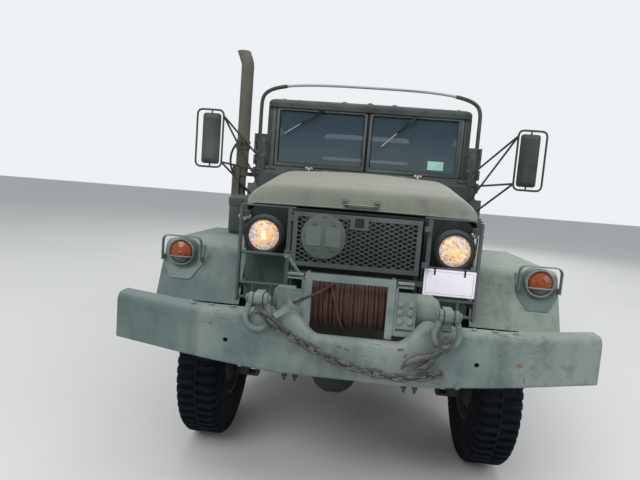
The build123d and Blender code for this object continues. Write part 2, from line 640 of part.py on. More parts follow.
def chain_link(middle, along, flat):
    """A link lying in the plane of along and flat, made of straight runs of round bar."""
    across = Vector(*along).cross(Vector(*flat)).normalized()
    place = Plane(origin=middle, x_dir=along, z_dir=across)
    length, width = CHAIN_LINK_LENGTH - CHAIN_BAR, CHAIN_LINK_WIDTH - CHAIN_BAR
    outer = link_outline(length + CHAIN_BAR, width + CHAIN_BAR)
    inner = link_outline(length - CHAIN_BAR, width - CHAIN_BAR)
    ring = make_face(Polyline(*outer, close=True)) - make_face(Polyline(*inner, close=True))
    bar = extrude(ring, amount=CHAIN_BAR / 2, both=True)
    return place * bar


def build_bumper_chain():
    """A chain hung link by link before the bumper, from one shackle to a grab hook under the other."""
    y = SHACKLE_Y - SHACKLE_BAR / 2 - CHAIN_BAR / 2 - FIT
    pitch = CHAIN_LINK_LENGTH - 2 * CHAIN_BAR - FIT
    path = FilletPolyline(*[(x, y, z) for x, z in CHAIN_ROUTE], radius=45)
    points = [path.position_at(number * pitch, position_mode=PositionMode.LENGTH)
              for number in range(int(path.length / pitch) + 1)]
    across = Vector(0, 1, 0)
    links = []
    for number, (a, b) in enumerate(zip(points, points[1:])):
        along = (b - a).normalized()
        flat = across if number % 2 else along.cross(across).normalized()
        links.append(chain_link((a + b) * 0.5, along, flat))
    hook = slab("y", HOOK_OUTLINE, y - HOOK_WALL / 2, y + HOOK_WALL / 2)
    (ax, az), (bx, bz) = HOOK_LINK
    along = Vector(bx - ax, 0, bz - az).normalized()
    links.append(chain_link(((ax + bx) / 2, y, (az + bz) / 2), along, along.cross(across).normalized()))
    write("bumper_chain", links, hook)


def build_winch():
    """Drum between two side plates behind a bent bar, with the gear case, brake case and clutch lever."""
    (x0, x1), (z0, z1), bar, wall = WINCH_X, WINCH_Z, WINCH_BAR, WINCH_PLATE
    y0, y1 = WINCH_Y - WINCH_DEPTH / 2, WINCH_Y + WINCH_DEPTH / 2
    guard = frame_slab("y", (WINCH_X, (z0, z1)), ((x0 + bar, x1 - bar), (z0 - 1, z1 - bar)), y0 - 8, y0)
    bed = RAIL_HIGH + 20
    plates = [block(x, (y0, y1), (bed, z1 - bar)) for x in ((x0 - wall, x0), (x1, x1 + wall))]
    cheeks = [block((x0 - 120, x0 - wall), (y0 + 6, y0 + 14), (BUMPER_HIGH + 2, z1 - 80)),
              block((x1 + wall, x1 + 98), (y0 + 6, y0 + 14), (bed + 12, z1 - 54))]
    slides = [block(x, (y0 + 2, y0 + 30), (z1 - 34 + rise, z1 - 26 + rise)) for rise in (0, 16)
              for x in ((x0 - 80, x0 - 2), (x1 + 2, x1 + 80))]
    slides += [block(x, (y0 + 2, y0 + 30), (z1 - 40, z1 - 10)) for x in ((x0 - 8, x0), (x1, x1 + 8))]
    base = [block(x, (y, y + 40), (RAIL_HIGH, bed)) for y in (y0, y1 - 40)
            for x in ((-RAIL_X, x0), (x1, RAIL_X))]
    flange, core = DRUM_FLANGE_RADIUS, DRUM_CORE_RADIUS
    drum = turned([(x0, 0), (x0, flange), (x0 + 12, flange), (x0 + 12, core), (x1 - 12, core),
                   (x1 - 12, flange), (x1, flange), (x1, 0)])
    (near, far), radius = GEAR_CASE_X, GEAR_CASE_RADIUS
    case = turned([(x1 + wall, 0), (x1 + wall, 50), (near, 50), (near, radius), (far - 45, radius),
                   (far - 14, radius * 0.72), (far, radius * 0.3), (far, 0)])
    (far, near), radius = BRAKE_CASE_X, BRAKE_CASE_RADIUS
    brake = turned([(x0 - wall, 0), (x0 - wall, 50), (near, 50), (near, radius), (far + 18, radius),
                    (far, radius * 0.7), (far, 0)])
    axle = Pos(0, WINCH_Y, DRUM_AXIS_Z)
    lever = rod((x0 - 5, y0 + 60, z1 - 60), (-310, y0 + 50, z1 + 60), 16)
    knob = Pos(-312, y0 + 50, z1 + 66) * Cylinder(15, 30)
    write("winch", guard, plates[0] + lever + knob, plates[1], cheeks, slides, base, axle * drum, axle * case,
          axle * brake)


def build_winch_rope():
    """The rope's lay on the drum as a ribbed sleeve, and its tight tail over to the shackle."""
    x0, x1 = WINCH_X[0] + 12 + FIT, WINCH_X[1] - 12 - FIT
    turns = int((x1 - x0) / ROPE_DIAMETER)
    pitch = (x1 - x0) / turns
    groove = ROPE_RADIUS - 3
    profile = [(x0, DRUM_CORE_RADIUS + FIT)]
    for turn in range(turns):
        left = x0 + turn * pitch
        profile += [(left, groove), (left + pitch / 2, ROPE_RADIUS)]
    profile += [(x1, groove), (x1, DRUM_CORE_RADIUS + FIT)]
    lay = Pos(0, WINCH_Y, DRUM_AXIS_Z) * turned(profile)
    height = 75.0
    away = ROPE_RADIUS + ROPE_DIAMETER / 2 + FIT
    start = (-120.0, WINCH_Y - (away ** 2 - height ** 2) ** 0.5, DRUM_AXIS_Z + height)
    (eye_x, eye_z), (foot_x, foot_z) = CLEVIS_ENDS
    tail = bent_bar([start, (-172.0, -1080.0, DRUM_AXIS_Z + 60), (eye_x + 11, SHACKLE_Y, eye_z + 5)], 40,
                    ROPE_DIAMETER)
    write("winch_rope", lay, tail)


def build_rope_clevis():
    """Clevis at the rope's end: two flat bars, the web that joins them and the pin through the rope's eye."""
    (eye_x, eye_z), (foot_x, foot_z) = CLEVIS_ENDS
    width, wall = CLEVIS_BAR
    length = ((eye_x - foot_x) ** 2 + (eye_z - foot_z) ** 2) ** 0.5
    tilt = degrees(atan2(eye_z - foot_z, eye_x - foot_x))
    place = Pos((eye_x + foot_x) / 2, SHACKLE_Y, (eye_z + foot_z) / 2) * Rot(0, -tilt, 0)
    outside = CLEVIS_INSIDE / 2 + wall
    clevis = block((wall - length / 2, length / 2 + 8), (-outside, -outside + wall), (-width / 2, width / 2))
    clevis += block((wall - length / 2, length / 2 + 8), (outside - wall, outside), (-width / 2, width / 2))
    clevis += block((-length / 2, wall - length / 2), (-outside, outside), (-width / 2, width / 2))
    clevis += Pos(length / 2 - 6, 0, 0) * Rot(90, 0, 0) * Cylinder(6, 2 * outside + 12)
    write("rope_clevis", place * clevis)


def build_grille():
    """Front shell with the radiator opening, brush guard, mesh screen and class disc before it."""
    y = GRILLE_Y
    half_width, top = HOOD_FRONT_X - HOOD_WALL - GAP, HOOD_FRONT_HIGH - HOOD_WALL - GAP
    shell = slab("y", rectangle((-half_width, half_width), (GRILLE_LOW, top)), y, y + SHEET, [8, 8, 70, 70])
    shell -= block(GRILLE_OPENING_X, (y - 1, y + SHEET + 1), GRILLE_OPENING_Z)
    slats = [block((x, x + 8), (y - 30, y), GRILLE_OPENING_Z) for x in SLATS_X]
    write("grille_shell", shell, slats)
    build_brush_guard(half_width)
    build_mesh_screen()
    disc = Pos(DISC_X, MESH_Y - 2, DISC_Z) * Rot(90, 0, 0) * Cylinder(DISC_RADIUS, 4)
    write("class_disc", disc)


def build_brush_guard(half_width):
    """Four upright flats on edge before the grille and lamps, slim rods between them and stays behind."""
    front, back = GUARD_Y - GUARD_DEPTH / 2, GUARD_Y + GUARD_DEPTH / 2
    low, high, edge, post = GUARD_LOW, HOOD_FRONT_HIGH - 14, GUARD_EDGE, GUARD_POST
    inner, outer = GUARD_INNER_X, GUARD_OUTER_X
    guard = []
    for x in (-inner, inner):
        guard.append(block((x - post / 2, x + post / 2), (front, back), (low, high)))
    for x in (edge - outer, outer):
        guard.append(block((x - edge, x), (front, back), (low, high)))
    across = GUARD_Y
    for side in (-1, 1):
        near, far = side * (inner + post / 2), side * (outer - edge)
        for z in GUARD_RODS_Z:
            guard.append(rod((near, across, z), (far, across, z), GUARD_ROD))
        for x in GUARD_SHORT_X:
            guard.append(rod((side * x, across, GUARD_RODS_Z[0]), (side * x, across, GUARD_RODS_Z[1]),
                             GUARD_ROD - 2))
        for z in (low + 60, high - 60):
            stay = sorted((side * (outer - edge), side * (outer - 2 * edge)))
            guard.append(block(stay, (back, GRILLE_Y), (z, z + 30)))
        foot = sorted((side * (inner - post / 2), side * (inner + post / 2)))
        guard.append(block(foot, (back, GRILLE_Y), (low + 20, low + 50)))
    rail_z = MESH_Z[0] - 60
    guard.append(block((post / 2 - inner, inner - post / 2), (front + 6, back - 6), (rail_z, rail_z + 24)))
    write("brush_guard", guard)


def build_mesh_screen():
    """Expanded metal as two layers of slanting strands in an angle frame on the guard."""
    (x0, x1), (z0, z1) = GRILLE_OPENING_X, MESH_Z
    layer = MESH_STRAND
    frame = frame_slab("y", ((x0, x1), (z0, z1)), ((x0 + MESH_FRAME, x1 - MESH_FRAME),
                       (z0 + MESH_FRAME, z1 - MESH_FRAME)), MESH_Y, MESH_Y + 2 * layer)
    lugs = [block((x, x + MESH_LUG), (MESH_Y + 2 * layer, GUARD_Y - GUARD_DEPTH / 2), (z, z + 24))
            for x in (-GUARD_INNER_X, GUARD_INNER_X - MESH_LUG) for z in MESH_LUGS_Z]
    strands = []
    step, rise = MESH_DIAMOND
    slope = rise / step
    a0, a1, b0, b1 = x0 + MESH_FRAME, x1 - MESH_FRAME, z0 + MESH_FRAME, z1 - MESH_FRAME
    run = (b1 - b0) / slope
    thick = 2.4
    for side in (1, -1):
        y0 = MESH_Y if side > 0 else MESH_Y + layer
        x = a0 - run
        while x < a1:
            low_t, high_t = max(0, a0 - x), min(run, a1 - x)
            if high_t - low_t > 3:
                ends = [(x + low_t, b0 + low_t * slope), (x + high_t, b0 + high_t * slope)]
                if side < 0:
                    ends = [(a0 + a1 - px, pz) for px, pz in ends]
                (ax, az), (bx, bz) = ends
                outline = [(ax, az - thick), (bx, bz - thick), (bx, bz + thick), (ax, az + thick)]
                strand = slab("y", outline, y0, y0 + layer) & block((a0, a1), (y0, y0 + layer), (b0, b1))
                strands.append(strand)
            x += step
    write("mesh_screen", frame, lugs, strands)


def toe_y(z):
    """Place along Y of the fender's sloping front at height z."""
    share = (FENDER_TOP - z) / (FENDER_TOP - FENDER_TOE_Z)
    return FENDER_FRONT_Y + share * (FENDER_TOE_Y - FENDER_FRONT_Y)


def build_lamps():
    """Headlamp buckets, turn lamps in their guards on the fenders, rear lamps and all the lenses."""
    y = LAMP_FRONT_Y
    bucket = turned([(y, LENS_RADIUS), (y - 6, LAMP_RADIUS - 10), (y + 8, LAMP_RADIUS), (y + 24, LAMP_RADIUS),
                     (GRILLE_Y, 70), (GRILLE_Y, 0), (y + 12, 0), (y + 12, LENS_RADIUS)], "y")
    lens = turned([(y + 12, 0), (y + 12, LENS_RADIUS - FIT), (y, LENS_RADIUS - FIT), (y - 12, 60),
                   (y - 20, 26), (y - 22, 0)], "y")
    place = Pos(LAMP_X, 0, LAMP_Z)
    housings, lenses = both_sides(place * bucket), both_sides(place * lens)
    front, x, z = SIGNAL_FRONT_Y, SIGNAL_X, SIGNAL_Z
    drum = Pos(x, 0, z) * turned([(front, 0), (front, SIGNAL_RADIUS), (FENDER_FRONT_Y, SIGNAL_RADIUS),
                                  (FENDER_FRONT_Y, 0)], "y")
    half, (low, corner) = SIGNAL_HOOP, SIGNAL_SKIRT_Z
    skirt = slab("y", [(x - half, z + 36), (x + half, z + 36), (x + half, corner - 15), (x + half / 2, low),
                       (x - half / 2, low), (x - half, corner - 15)], 2 * FENDER_TOE_Y, 0)
    skirt &= slab("x", [(toe_y(z + 60) - 7, z + 60), (toe_y(z + 60), z + 60), (toe_y(low - 20), low - 20),
                        (toe_y(low - 20) - 7, low - 20)], x - 2 * half, x + 2 * half)
    outside, inside = ((x - half, x + half), (z - 50, z + 88)), ((x - half + 5, x + half - 5), (z - 70, z + 83))
    hoop = slab("y", rectangle(*outside), front - 12, front + 16, [6, 6, 34, 34])
    hoop -= slab("y", rectangle(*inside), front - 13, front + 17, [6, 6, 29, 29])
    for side in (-1, 1):
        leg = sorted((x + side * half, x + side * (half - 5)))
        hoop += block(leg, (front + 16, toe_y(z)), (z - 50, z - 24))
    behind = slab("x", [(toe_y(FENDER_TOP + 100), FENDER_TOP + 100), (toe_y(FENDER_TOE_Z), FENDER_TOE_Z),
                        (0, FENDER_TOE_Z), (0, FENDER_TOP + 100)], x - 2 * half, x + 2 * half)
    housings += both_sides((drum + skirt + hoop) - behind)
    radius = SIGNAL_LENS_RADIUS
    dome = turned([(front, 0), (front, radius), (front - 14, radius - 8), (front - 24, radius * 0.45),
                   (front - 28, 0)], "y")
    tail_lens = Pos(TAIL_X, TAIL_Y + 60, TAIL_Z) * Rot(90, 0, 0) * Cylinder(TAIL_LENS_RADIUS, 8)
    write("signal_lenses", both_sides(Pos(x, 0, z) * dome), both_sides(tail_lens))
    tail_top = TAIL_Z + 55
    housings += both_sides(block((TAIL_X - 90, TAIL_X + 90), (TAIL_Y, TAIL_Y + 56), (TAIL_Z - 55, tail_top)))
    housings += both_sides(block((TAIL_X - 20, TAIL_X + 20), (TAIL_Y, TAIL_Y + 40), (tail_top, BED_SILL_LOW)))
    write("lamp_housings", housings)
    write("headlight_lenses", lenses)


def build_fenders():
    """Flat-topped fenders bent down over the front wheels, each with an inner apron."""
    top, t, bend = FENDER_TOP, SHEET, FENDER_BEND
    outer = [(FENDER_TOE_Y, FENDER_TOE_Z), (FENDER_FRONT_Y, top), (FENDER_REAR_Y, top),
             (FENDER_HEEL_Y, FENDER_HEEL_Z)]
    inner = [(FENDER_HEEL_Y - t, FENDER_HEEL_Z), (FENDER_REAR_Y - 3, top - t), (FENDER_FRONT_Y + 4, top - t),
             (FENDER_TOE_Y + t, FENDER_TOE_Z)]
    skin = slab("x", outer + inner, FENDER_INNER_X, FENDER_OUTER_X,
                [1, bend, bend, 1, 1, bend - t, bend - t, 1])
    apron = slab("x", [(FENDER_TOE_Y + 60, 1120), (FENDER_FRONT_Y + 8, top - t), (FENDER_REAR_Y - 8, top - t),
                       (FENDER_HEEL_Y - 110, 1120)], FENDER_INNER_X, FENDER_INNER_X + t, [2, bend, bend, 2])
    lip = slab("x", [(FENDER_FRONT_Y + bend, top - t), (FENDER_REAR_Y - bend / 2, top - t),
                     (FENDER_REAR_Y - bend, top - 40), (FENDER_FRONT_Y + bend + 20, top - 40)],
               FENDER_OUTER_X - t, FENDER_OUTER_X)
    write("front_fenders", [both_sides(piece) for piece in (skin + apron + lip).solids()])


# Hood, cowl and cab

def hood_half(y):
    """Half the hood's width at place y along it."""
    return HOOD_FRONT_X + (y - HOOD_FRONT_Y) * (HOOD_REAR_X - HOOD_FRONT_X) / (HOOD_REAR_Y - HOOD_FRONT_Y)


def hood_section(section, wall):
    """The hood's outline at one of its sections, or the outline that lies wall inside it."""
    y, shoulder, edge, inset, crown, radius = section
    half, shoulder, edge = hood_half(y) - wall, shoulder - wall / 2, edge - wall
    corners = [(half, y, HOOD_SIDE_LOW), (half, y, shoulder), (half - inset, y, edge), (0, y, edge + crown),
               (inset - half, y, edge), (-half, y, shoulder), (-half, y, HOOD_SIDE_LOW)]
    return FilletPolyline(*corners, radius=[radius, radius, 3000, radius, radius])


def hinge_leaf(x, width, axis, foot, radius):
    """One hinge knuckle at (Y, Z) of axis, X from x, with a tab from it to foot, a (Y, Z) corner."""
    (ay, az), (fy, fz) = axis, foot
    knuckle = rod((x, ay, az), (x + width, ay, az), 2 * radius)
    return knuckle + block((x, x + width), (min(ay, fy), max(ay, fy)), (min(az, fz), max(az, fz)))


def build_hood():
    """A crowned shell lofted from its round nose to the cowl, with a strap handle on the nose."""
    sections = []
    for section in HOOD_SECTIONS:
        y, half = section[0], hood_half(section[0])
        feet = [Line((side * half, y, HOOD_SIDE_LOW), (side * (half - HOOD_WALL), y, HOOD_SIDE_LOW))
                for side in (1, -1)]
        skins = [*hood_section(section, 0).edges(), *hood_section(section, HOOD_WALL).edges()]
        sections.append(make_face(skins + feet))
    shell = loft(sections, ruled=True)
    half, low, high = HOOD_HANDLE
    y = HOOD_FRONT_Y - HOOD_HANDLE_REACH
    strap = block((-half, half), (y, y + SHEET), (low, high))
    for x in (-half, half - 16):
        strap += block((x, x + 16), (y, HOOD_FRONT_Y + 14), (low + 4, high - 4))
    for x in HOOD_HINGES_X:
        shell += hinge_leaf(x, 40, (HOOD_HINGE_Y, HOOD_HINGE_Z), (HOOD_REAR_Y - 12, HOOD_REAR_HIGH + 2),
                            HOOD_HINGE_RADIUS)
    write("hood", shell + strap)


def build_engine_side_panels():
    """The fixed panels under the hood's sides, standing on the fenders."""
    front, rear = GRILLE_Y + SHEET, COWL_Y
    panel = slab("z", [(hood_half(front) - HOOD_WALL, front), (hood_half(front), front),
                       (hood_half(rear), rear), (hood_half(rear) - HOOD_WALL, rear)],
                 FENDER_TOP, HOOD_SIDE_LOW - GAP - 1)
    write("engine_side_panels", both_sides(panel))


def door_hinges():
    """Places of a door's two hinges: X, Y of the pin and Z where the fixed knuckle starts."""
    return [(DOOR_OUT_X + 8, DOOR_Y[0] - 5, z) for z in DOOR_HINGES_Z]


def build_cowl():
    """Firewall, side posts and the scuttle that rises to the foot of the windshield."""
    y0, y1, x, t = COWL_Y, DOOR_Y[0] - GAP, CAB_X, CAB_SKIN
    base, low, top = CAB_LOW + FLOOR_WALL, SCUTTLE_LOW, WINDSHIELD_LOW
    firewall = block((-x, x), (y0, y0 + 12), (base, low))
    front = HOOD_REAR_HIGH - GAP
    scuttle = slab("x", [(y0, low), (y0, front), (y0 + 44, top), (y1, top), (y1, top - t), (y0 + 52, top - t),
                         (y0 + 16, front - t), (y0 + 16, low)], -x, x)
    for hinge_x in HOOD_HINGES_X:
        scuttle += hinge_leaf(hinge_x + 40 + FIT, 20, (HOOD_HINGE_Y, HOOD_HINGE_Z), (y0 + 14, front - t),
                              HOOD_HINGE_RADIUS)
    end = slab("x", [(y0 + 16, low), (y0 + 16, front - t), (y0 + 52, top - t), (y1, top - t), (y1, low)],
               x - t, x)
    side = block((x - t, x), (y0 + 12, y1), (base, low))
    for pin_x, pin_y, z in door_hinges():
        side += rod((pin_x, pin_y, z), (pin_x, pin_y, z + 40), 2 * DOOR_HINGE_RADIUS)
        side += block((x - 8, pin_x), (y1 - 15, pin_y), (z, z + 40))
    write("cowl", firewall, scuttle, both_sides(side), both_sides(end))


def build_cab():
    """Cab floor and back, hard top, windshield, glass and wipers."""
    build_cab_floor()
    build_hard_top()
    build_windshield()


def build_cab_floor():
    """Floor on its four mounts, lower back wall, rear posts and the sills beside the cowl."""
    x, t = CAB_X, CAB_SKIN
    plate = CAB_LOW + 28
    floor = block((-x, x), (COWL_Y, CAB_REAR_Y), (CAB_LOW, plate))
    inside = DOOR_OUT_X - DOOR_WALL - GAP
    deck = block((-inside, inside), (COWL_Y + 12, CAB_BACK_Y), (plate, CAB_LOW + FLOOR_WALL))
    deck -= block((-x, x), (COWL_Y, DOOR_Y[0]), (CAB_LOW, CAB_LOW + 100))
    back = block((-x, x), (CAB_BACK_Y, CAB_REAR_Y), (plate, DOOR_SILL))
    posts = both_sides(block((x - WALL, x), (DOOR_Y[1] + GAP, CAB_BACK_Y), (plate, DOOR_SILL)))
    front_wall = block((-x, x), (COWL_Y, COWL_Y + 12), (plate, CAB_LOW + FLOOR_WALL))
    for sill in both_sides(block((x - t, x), (COWL_Y, DOOR_Y[0] - GAP), (plate, CAB_LOW + FLOOR_WALL))):
        front_wall += sill
    mounts = [both_sides(block((RAIL_X - 60, RAIL_X - 10), (y, y + 60), (RAIL_HIGH, CAB_LOW)))
              for y in CAB_MOUNTS_Y]
    write("cab_floor", floor, deck, back, posts, front_wall, mounts)


def build_hard_top():
    """Ribbed roof with rolled edges on its pillars, and the upper back with its rear window."""
    x, low, high, edge = CAB_X, ROOF_LOW, ROOF_HIGH, ROOF_X
    y0, y1 = ROOF_Y
    rise = ROOF_RISE
    half = [(edge - 42, high - 7), (edge - 14, low + rise * 0.75), (edge, low + rise * 0.45), (edge, low)]
    crown = [(-a, b) for a, b in reversed(half)] + [(0, high)] + half
    roll = [(y0, low), (y0, low + rise * 0.45), (y0 + 12, low + rise * 0.75), (y0 + 40, high - 2),
            (y0 + 90, high + 5),
            (y1 - 90, high + 5), (y1 - 20, low + rise * 0.6), (y1, low + rise * 0.3), (y1, low)]
    roof = slab("y", crown, y0, y1) & slab("x", roll, -edge, edge)
    roof -= block((-edge + 35, edge - 35), (y0 + 30, CAB_BACK_Y), (low - 1, high - 24))
    for rib in ROOF_RIBS_X:
        roof += block((rib - 14, rib + 14), (y0 + 90, y1 - 90), (high - 20, high + 5))
    upper = frame_slab("y", ((-x, x), (DOOR_SILL, low)), ((-REAR_WINDOW_X, REAR_WINDOW_X), REAR_WINDOW_Z),
                       CAB_BACK_Y, CAB_REAR_Y, 45)
    quarter = both_sides(block((x - WALL, x), (DOOR_Y[1] + GAP, CAB_BACK_Y), (DOOR_SILL, low)))
    pillars = both_sides(block((WINDSHIELD_X, x), (WINDSHIELD_Y, DOOR_Y[0] - GAP), (WINDSHIELD_LOW, low)))
    rails = both_sides(block((x - 35, x), (DOOR_Y[0] - GAP, DOOR_Y[1] + GAP), (DOOR_HIGH + GAP, low)))
    write("hard_top", roof, upper, quarter, pillars, rails)


def build_windshield():
    """Windshield frame of two panes, all the fixed glass and the two wipers hung from above."""
    y0, y1 = WINDSHIELD_Y, WINDSHIELD_Y + WALL
    shield = slab("y", rectangle((-WINDSHIELD_X, WINDSHIELD_X), (WINDSHIELD_LOW, ROOF_LOW)), y0, y1)
    for pane in PANES_X:
        shield -= slab("y", rectangle(pane, PANE_Z), y0 - 1, y1 + 1, PANE_CORNER)
    write("windshield_frame", shield)
    panes = [(pane, PANE_Z, y0 + 12, PANE_CORNER) for pane in PANES_X]
    panes.append(((-REAR_WINDOW_X, REAR_WINDOW_X), REAR_WINDOW_Z, CAB_REAR_Y - 24, 45))
    glass = [slab("y", rectangle((a + FIT, b - FIT), (low + FIT, high - FIT)), y, y + GLASS_WALL, corner)
             for (a, b), (low, high), y, corner in panes]
    write("cab_glass", glass)
    wipers = []
    for (pivot_x, pivot_z), (tip_x, tip_z) in WIPERS:
        arm = rod((pivot_x, y0 - 16, pivot_z), (tip_x, y0 - 10, tip_z), 9)
        boss = Pos(pivot_x, y0 - 11, pivot_z) * Rot(90, 0, 0) * Cylinder(13, 22)
        wipers.append(arm + boss)
    write("wipers", wipers)


def build_cab_interior():
    """Dashboard, steering column and wheel, and the two seats' frames and cushions."""
    inner = CAB_X - WALL
    front, rear, top = DOOR_Y[0] - 40, DOOR_Y[0] + 60, WINDSHIELD_LOW - CAB_SKIN
    dash = slab("x", [(front, top - 278), (rear, top - 278), (rear, top - 78), (rear - 36, top), (front, top)],
                -inner, inner, 12)
    (x, foot_y, foot_z), (_, centre_y, centre_z) = STEERING_COLUMN_FOOT, STEERING_WHEEL_CENTRE
    tilt = degrees(atan2(centre_y - foot_y, centre_z - foot_z))
    column = rod((x, rear, foot_z + 26), STEERING_WHEEL_CENTRE, 44)
    wheel = Torus(STEERING_WHEEL_RADIUS, 13) + Cylinder(36, 30)
    for turn in (90, 210, 330):
        wheel += Rot(0, 0, turn) * rod((20, 0, 0), (STEERING_WHEEL_RADIUS - 6, 0, 0), 14)
    wheel = Pos(*STEERING_WHEEL_CENTRE) * Rot(-tilt, 0, 0) * wheel
    frames, cushions = [], []
    (y0, y1), leg, high = SEATS_Y, SEAT_LEG, SEAT_Z + SEAT_BACK_HIGH
    for x0, x1 in SEATS_X:
        for x in (x0 + 20, x1 - 20 - leg):
            for y in (y0 + 25, y1 - 40):
                frames.append(block((x, x + leg), (y, y + leg), (CAB_LOW + FLOOR_WALL, SEAT_Z - leg)))
        frames.append(block((x0 + 10, x1 - 10), (y0 + 15, y1), (SEAT_Z - leg, SEAT_Z)))
        cushions.append(slab("x", rectangle(SEATS_Y, (SEAT_Z, SEAT_Z + SEAT_DEPTH)), x0, x1, 30))
        low = SEAT_Z + 40
        cushions.append(slab("x", [(y1, low), (y1 + 85, low), (y1 + 100, high), (y1 + 28, high)], x0, x1, 25))
    write("cab_interior", dash, column + wheel, frames)
    write("seat_cushions", cushions)


def build_doors():
    """Doors with a window cut out, hinge knuckles at the front and a lever handle."""
    low, high, out = DOOR_LOW, DOOR_HIGH, DOOR_OUT_X
    skin = out - DOOR_WALL
    y0, y1 = DOOR_Y
    door = slab("x", rectangle((y0, y1), (low, high)), skin, out)
    (a, b), (c, d) = (y0 + 58, y1 - 56), (DOOR_SILL + 12, high - 48)
    door -= slab("x", rectangle((a, b), (c, d)), skin - 1, out + 1, DOOR_WINDOW_CORNER)
    grip_y, (grip_low, grip_high) = y1 - 100, DOOR_HANDLE_Z
    handle = block((out, out + 34), (grip_y - 20, grip_y), DOOR_HANDLE_Z)
    handle += block((out + 22, out + 34), (grip_y - 120, grip_y), (grip_low, grip_high))
    for x, y, z in door_hinges():
        door += rod((x, y, z - 60), (x, y, z - FIT), 2 * DOOR_HINGE_RADIUS)
        door += block((out - 8, x), (y, y0 + 7), (z - 60, z - FIT))
    pane = rectangle((a + FIT, b - FIT), (c + FIT, d - FIT))
    glass = slab("x", pane, out - 24, out - 24 + GLASS_WALL, DOOR_WINDOW_CORNER)
    for name, piece in (("door", door + handle), ("door_glass", glass)):
        write(f"{name}_left", piece)
        write(f"{name}_right", mirror(piece, about=Plane.YZ))


def build_mirrors():
    """Tall mirrors in tube loops, carried by struts from a bracket on the cowl's side."""
    (x0, x1), (z0, z1) = MIRROR_X, MIRROR_Z
    y, tube, middle = MIRROR_Y, MIRROR_TUBE, (z0 + z1) / 2
    loop = bent_bar([(x0, y, middle), (x0, y, z1), (x1, y, z1), (x1, y, middle)], MIRROR_BEND, tube)
    loop += bent_bar([(x0, y, middle), (x0, y, z0), (x1, y, z0), (x1, y, middle)], MIRROR_BEND, tube)
    head = slab("y", rectangle(MIRROR_HEAD_X, (z0 + 30, z1 - 30)), y - 14, y + 14, 22)
    pin_x = sum(MIRROR_HEAD_X) / 2
    head += rod((pin_x, y, z0), (pin_x, y, z1), 12)
    foot_x, foot_y = CAB_X + 24, COWL_Y + 16
    ends = [z1 - MIRROR_BEND, z1 - MIRROR_BEND, z0 + MIRROR_BEND, z0 + MIRROR_BEND]
    struts = [rod((x0, y, end), (foot_x, foot_y, foot), tube) for end, foot in zip(ends, MIRROR_FEET_Z)]
    bracket = block((CAB_X, foot_x + 12), (foot_y - 16, foot_y + 16),
                    (min(MIRROR_FEET_Z) - 24, max(MIRROR_FEET_Z) + 25))
    arm = loop + head + bracket
    for strut in struts:
        arm += strut
    write("mirrors", both_sides(arm))


def build_exhaust_stack():
    """Upright pipe beside the cowl with a heat shield, a wider stack on top and its cut mouth."""
    x, y = STACK_X, STACK_Y
    joint = STACK_CLAMP_Z - 40
    lower = bent_bar([(-HOOD_REAR_X - 4, y, STACK_KNEE_Z), (x, y, STACK_KNEE_Z), (x, y, joint)], 90,
                     2 * PIPE_RADIUS)
    upper = bent_bar([(x, y, joint), (x, y, STACK_TOP_Z), (x - 60, y + 50, STACK_TOP_Z + 130)],
                     STACK_BEND, 2 * STACK_RADIUS, 4)
    upper -= block((x - 300, x + 300), (y - 300, y + 300), (STACK_TOP_Z + 98, STACK_TOP_Z + 400))
    clamp = turned([(STACK_CLAMP_Z - 60, PIPE_RADIUS - 2), (STACK_CLAMP_Z - 60, STACK_RADIUS + 8),
                    (STACK_CLAMP_Z - 40, STACK_RADIUS + 8), (STACK_CLAMP_Z - 40, PIPE_RADIUS - 2)], "z")
    stack = lower + Pos(x, y, 0) * clamp
    outside, high = SHIELD_RADIUS, SHIELD_HEIGHT
    ring = Cylinder(outside, high) - Cylinder(outside - 4, high + 10)
    shield = Pos(x, y, SHIELD_Z) * (ring - block((0, 2 * outside), (-outside, outside), (-high, high)))
    stays = [block((x - outside + 3, x), (y - 8, y + 8), (SHIELD_Z + rise, SHIELD_Z + rise + 16))
             for rise in (-125, 105)]
    bracket = block((x, -CAB_X), (COWL_Y + 40, COWL_Y + 56), (STACK_CLAMP_Z - 60, STACK_CLAMP_Z - 30))
    bracket += block((x - 8, x + 8), (y, COWL_Y + 56), (STACK_CLAMP_Z - 60, STACK_CLAMP_Z - 30))
    stack += bracket
    for stay in stays:
        stack += stay
    write("exhaust_stack", stack, upper, shield)


def build_air_cleaner():
    """A drum on the right fender beside the hood, with a capped top."""
    z, radius, (x, y) = FENDER_TOP, CLEANER_RADIUS, CLEANER_PLACE
    drum = turned([(z, 0), (z, radius - 10), (z + 20, radius), (z + 190, radius), (z + 196, radius + 6),
                   (z + 240, radius + 6), (z + 262, radius - 20), (z + 262, 0)], "z")
    write("air_cleaner", Pos(x, y, 0) * drum)


# Boxes beside the frame, spare wheel, cargo bed and rear end

def build_side_boxes():
    """Fuel tank and battery box on the right, tool box on the left, steps below both doors."""
    (x0, x1), (y0, y1), (z0, z1) = TANK
    tank = slab("y", rectangle((x0, x1), (z0, z1)), y0, y1, 70)
    straps = [block((x1, -RAIL_X), (y, y + 50), (z1 - 150, z1)) for y in (y0 + 120, y1 - 180)]
    (x0, x1), (y0, y1), (z0, z1) = SIDE_BOX
    box = slab("y", rectangle((x0, x1), (z0, z1)), y0, y1, 20)
    step = block((620, STEP_X), (y0 - 30, y1 + 40), (STEP_Z, STEP_Z + 14))
    hangers = [block((x1 - 60, x1 - 20), (y, y + 8), (STEP_Z + 14, z0)) for y in (y0 + 40, y1 - 40)]
    write("side_boxes", tank, straps, [both_sides(piece) for piece in (box, step, *hangers)])


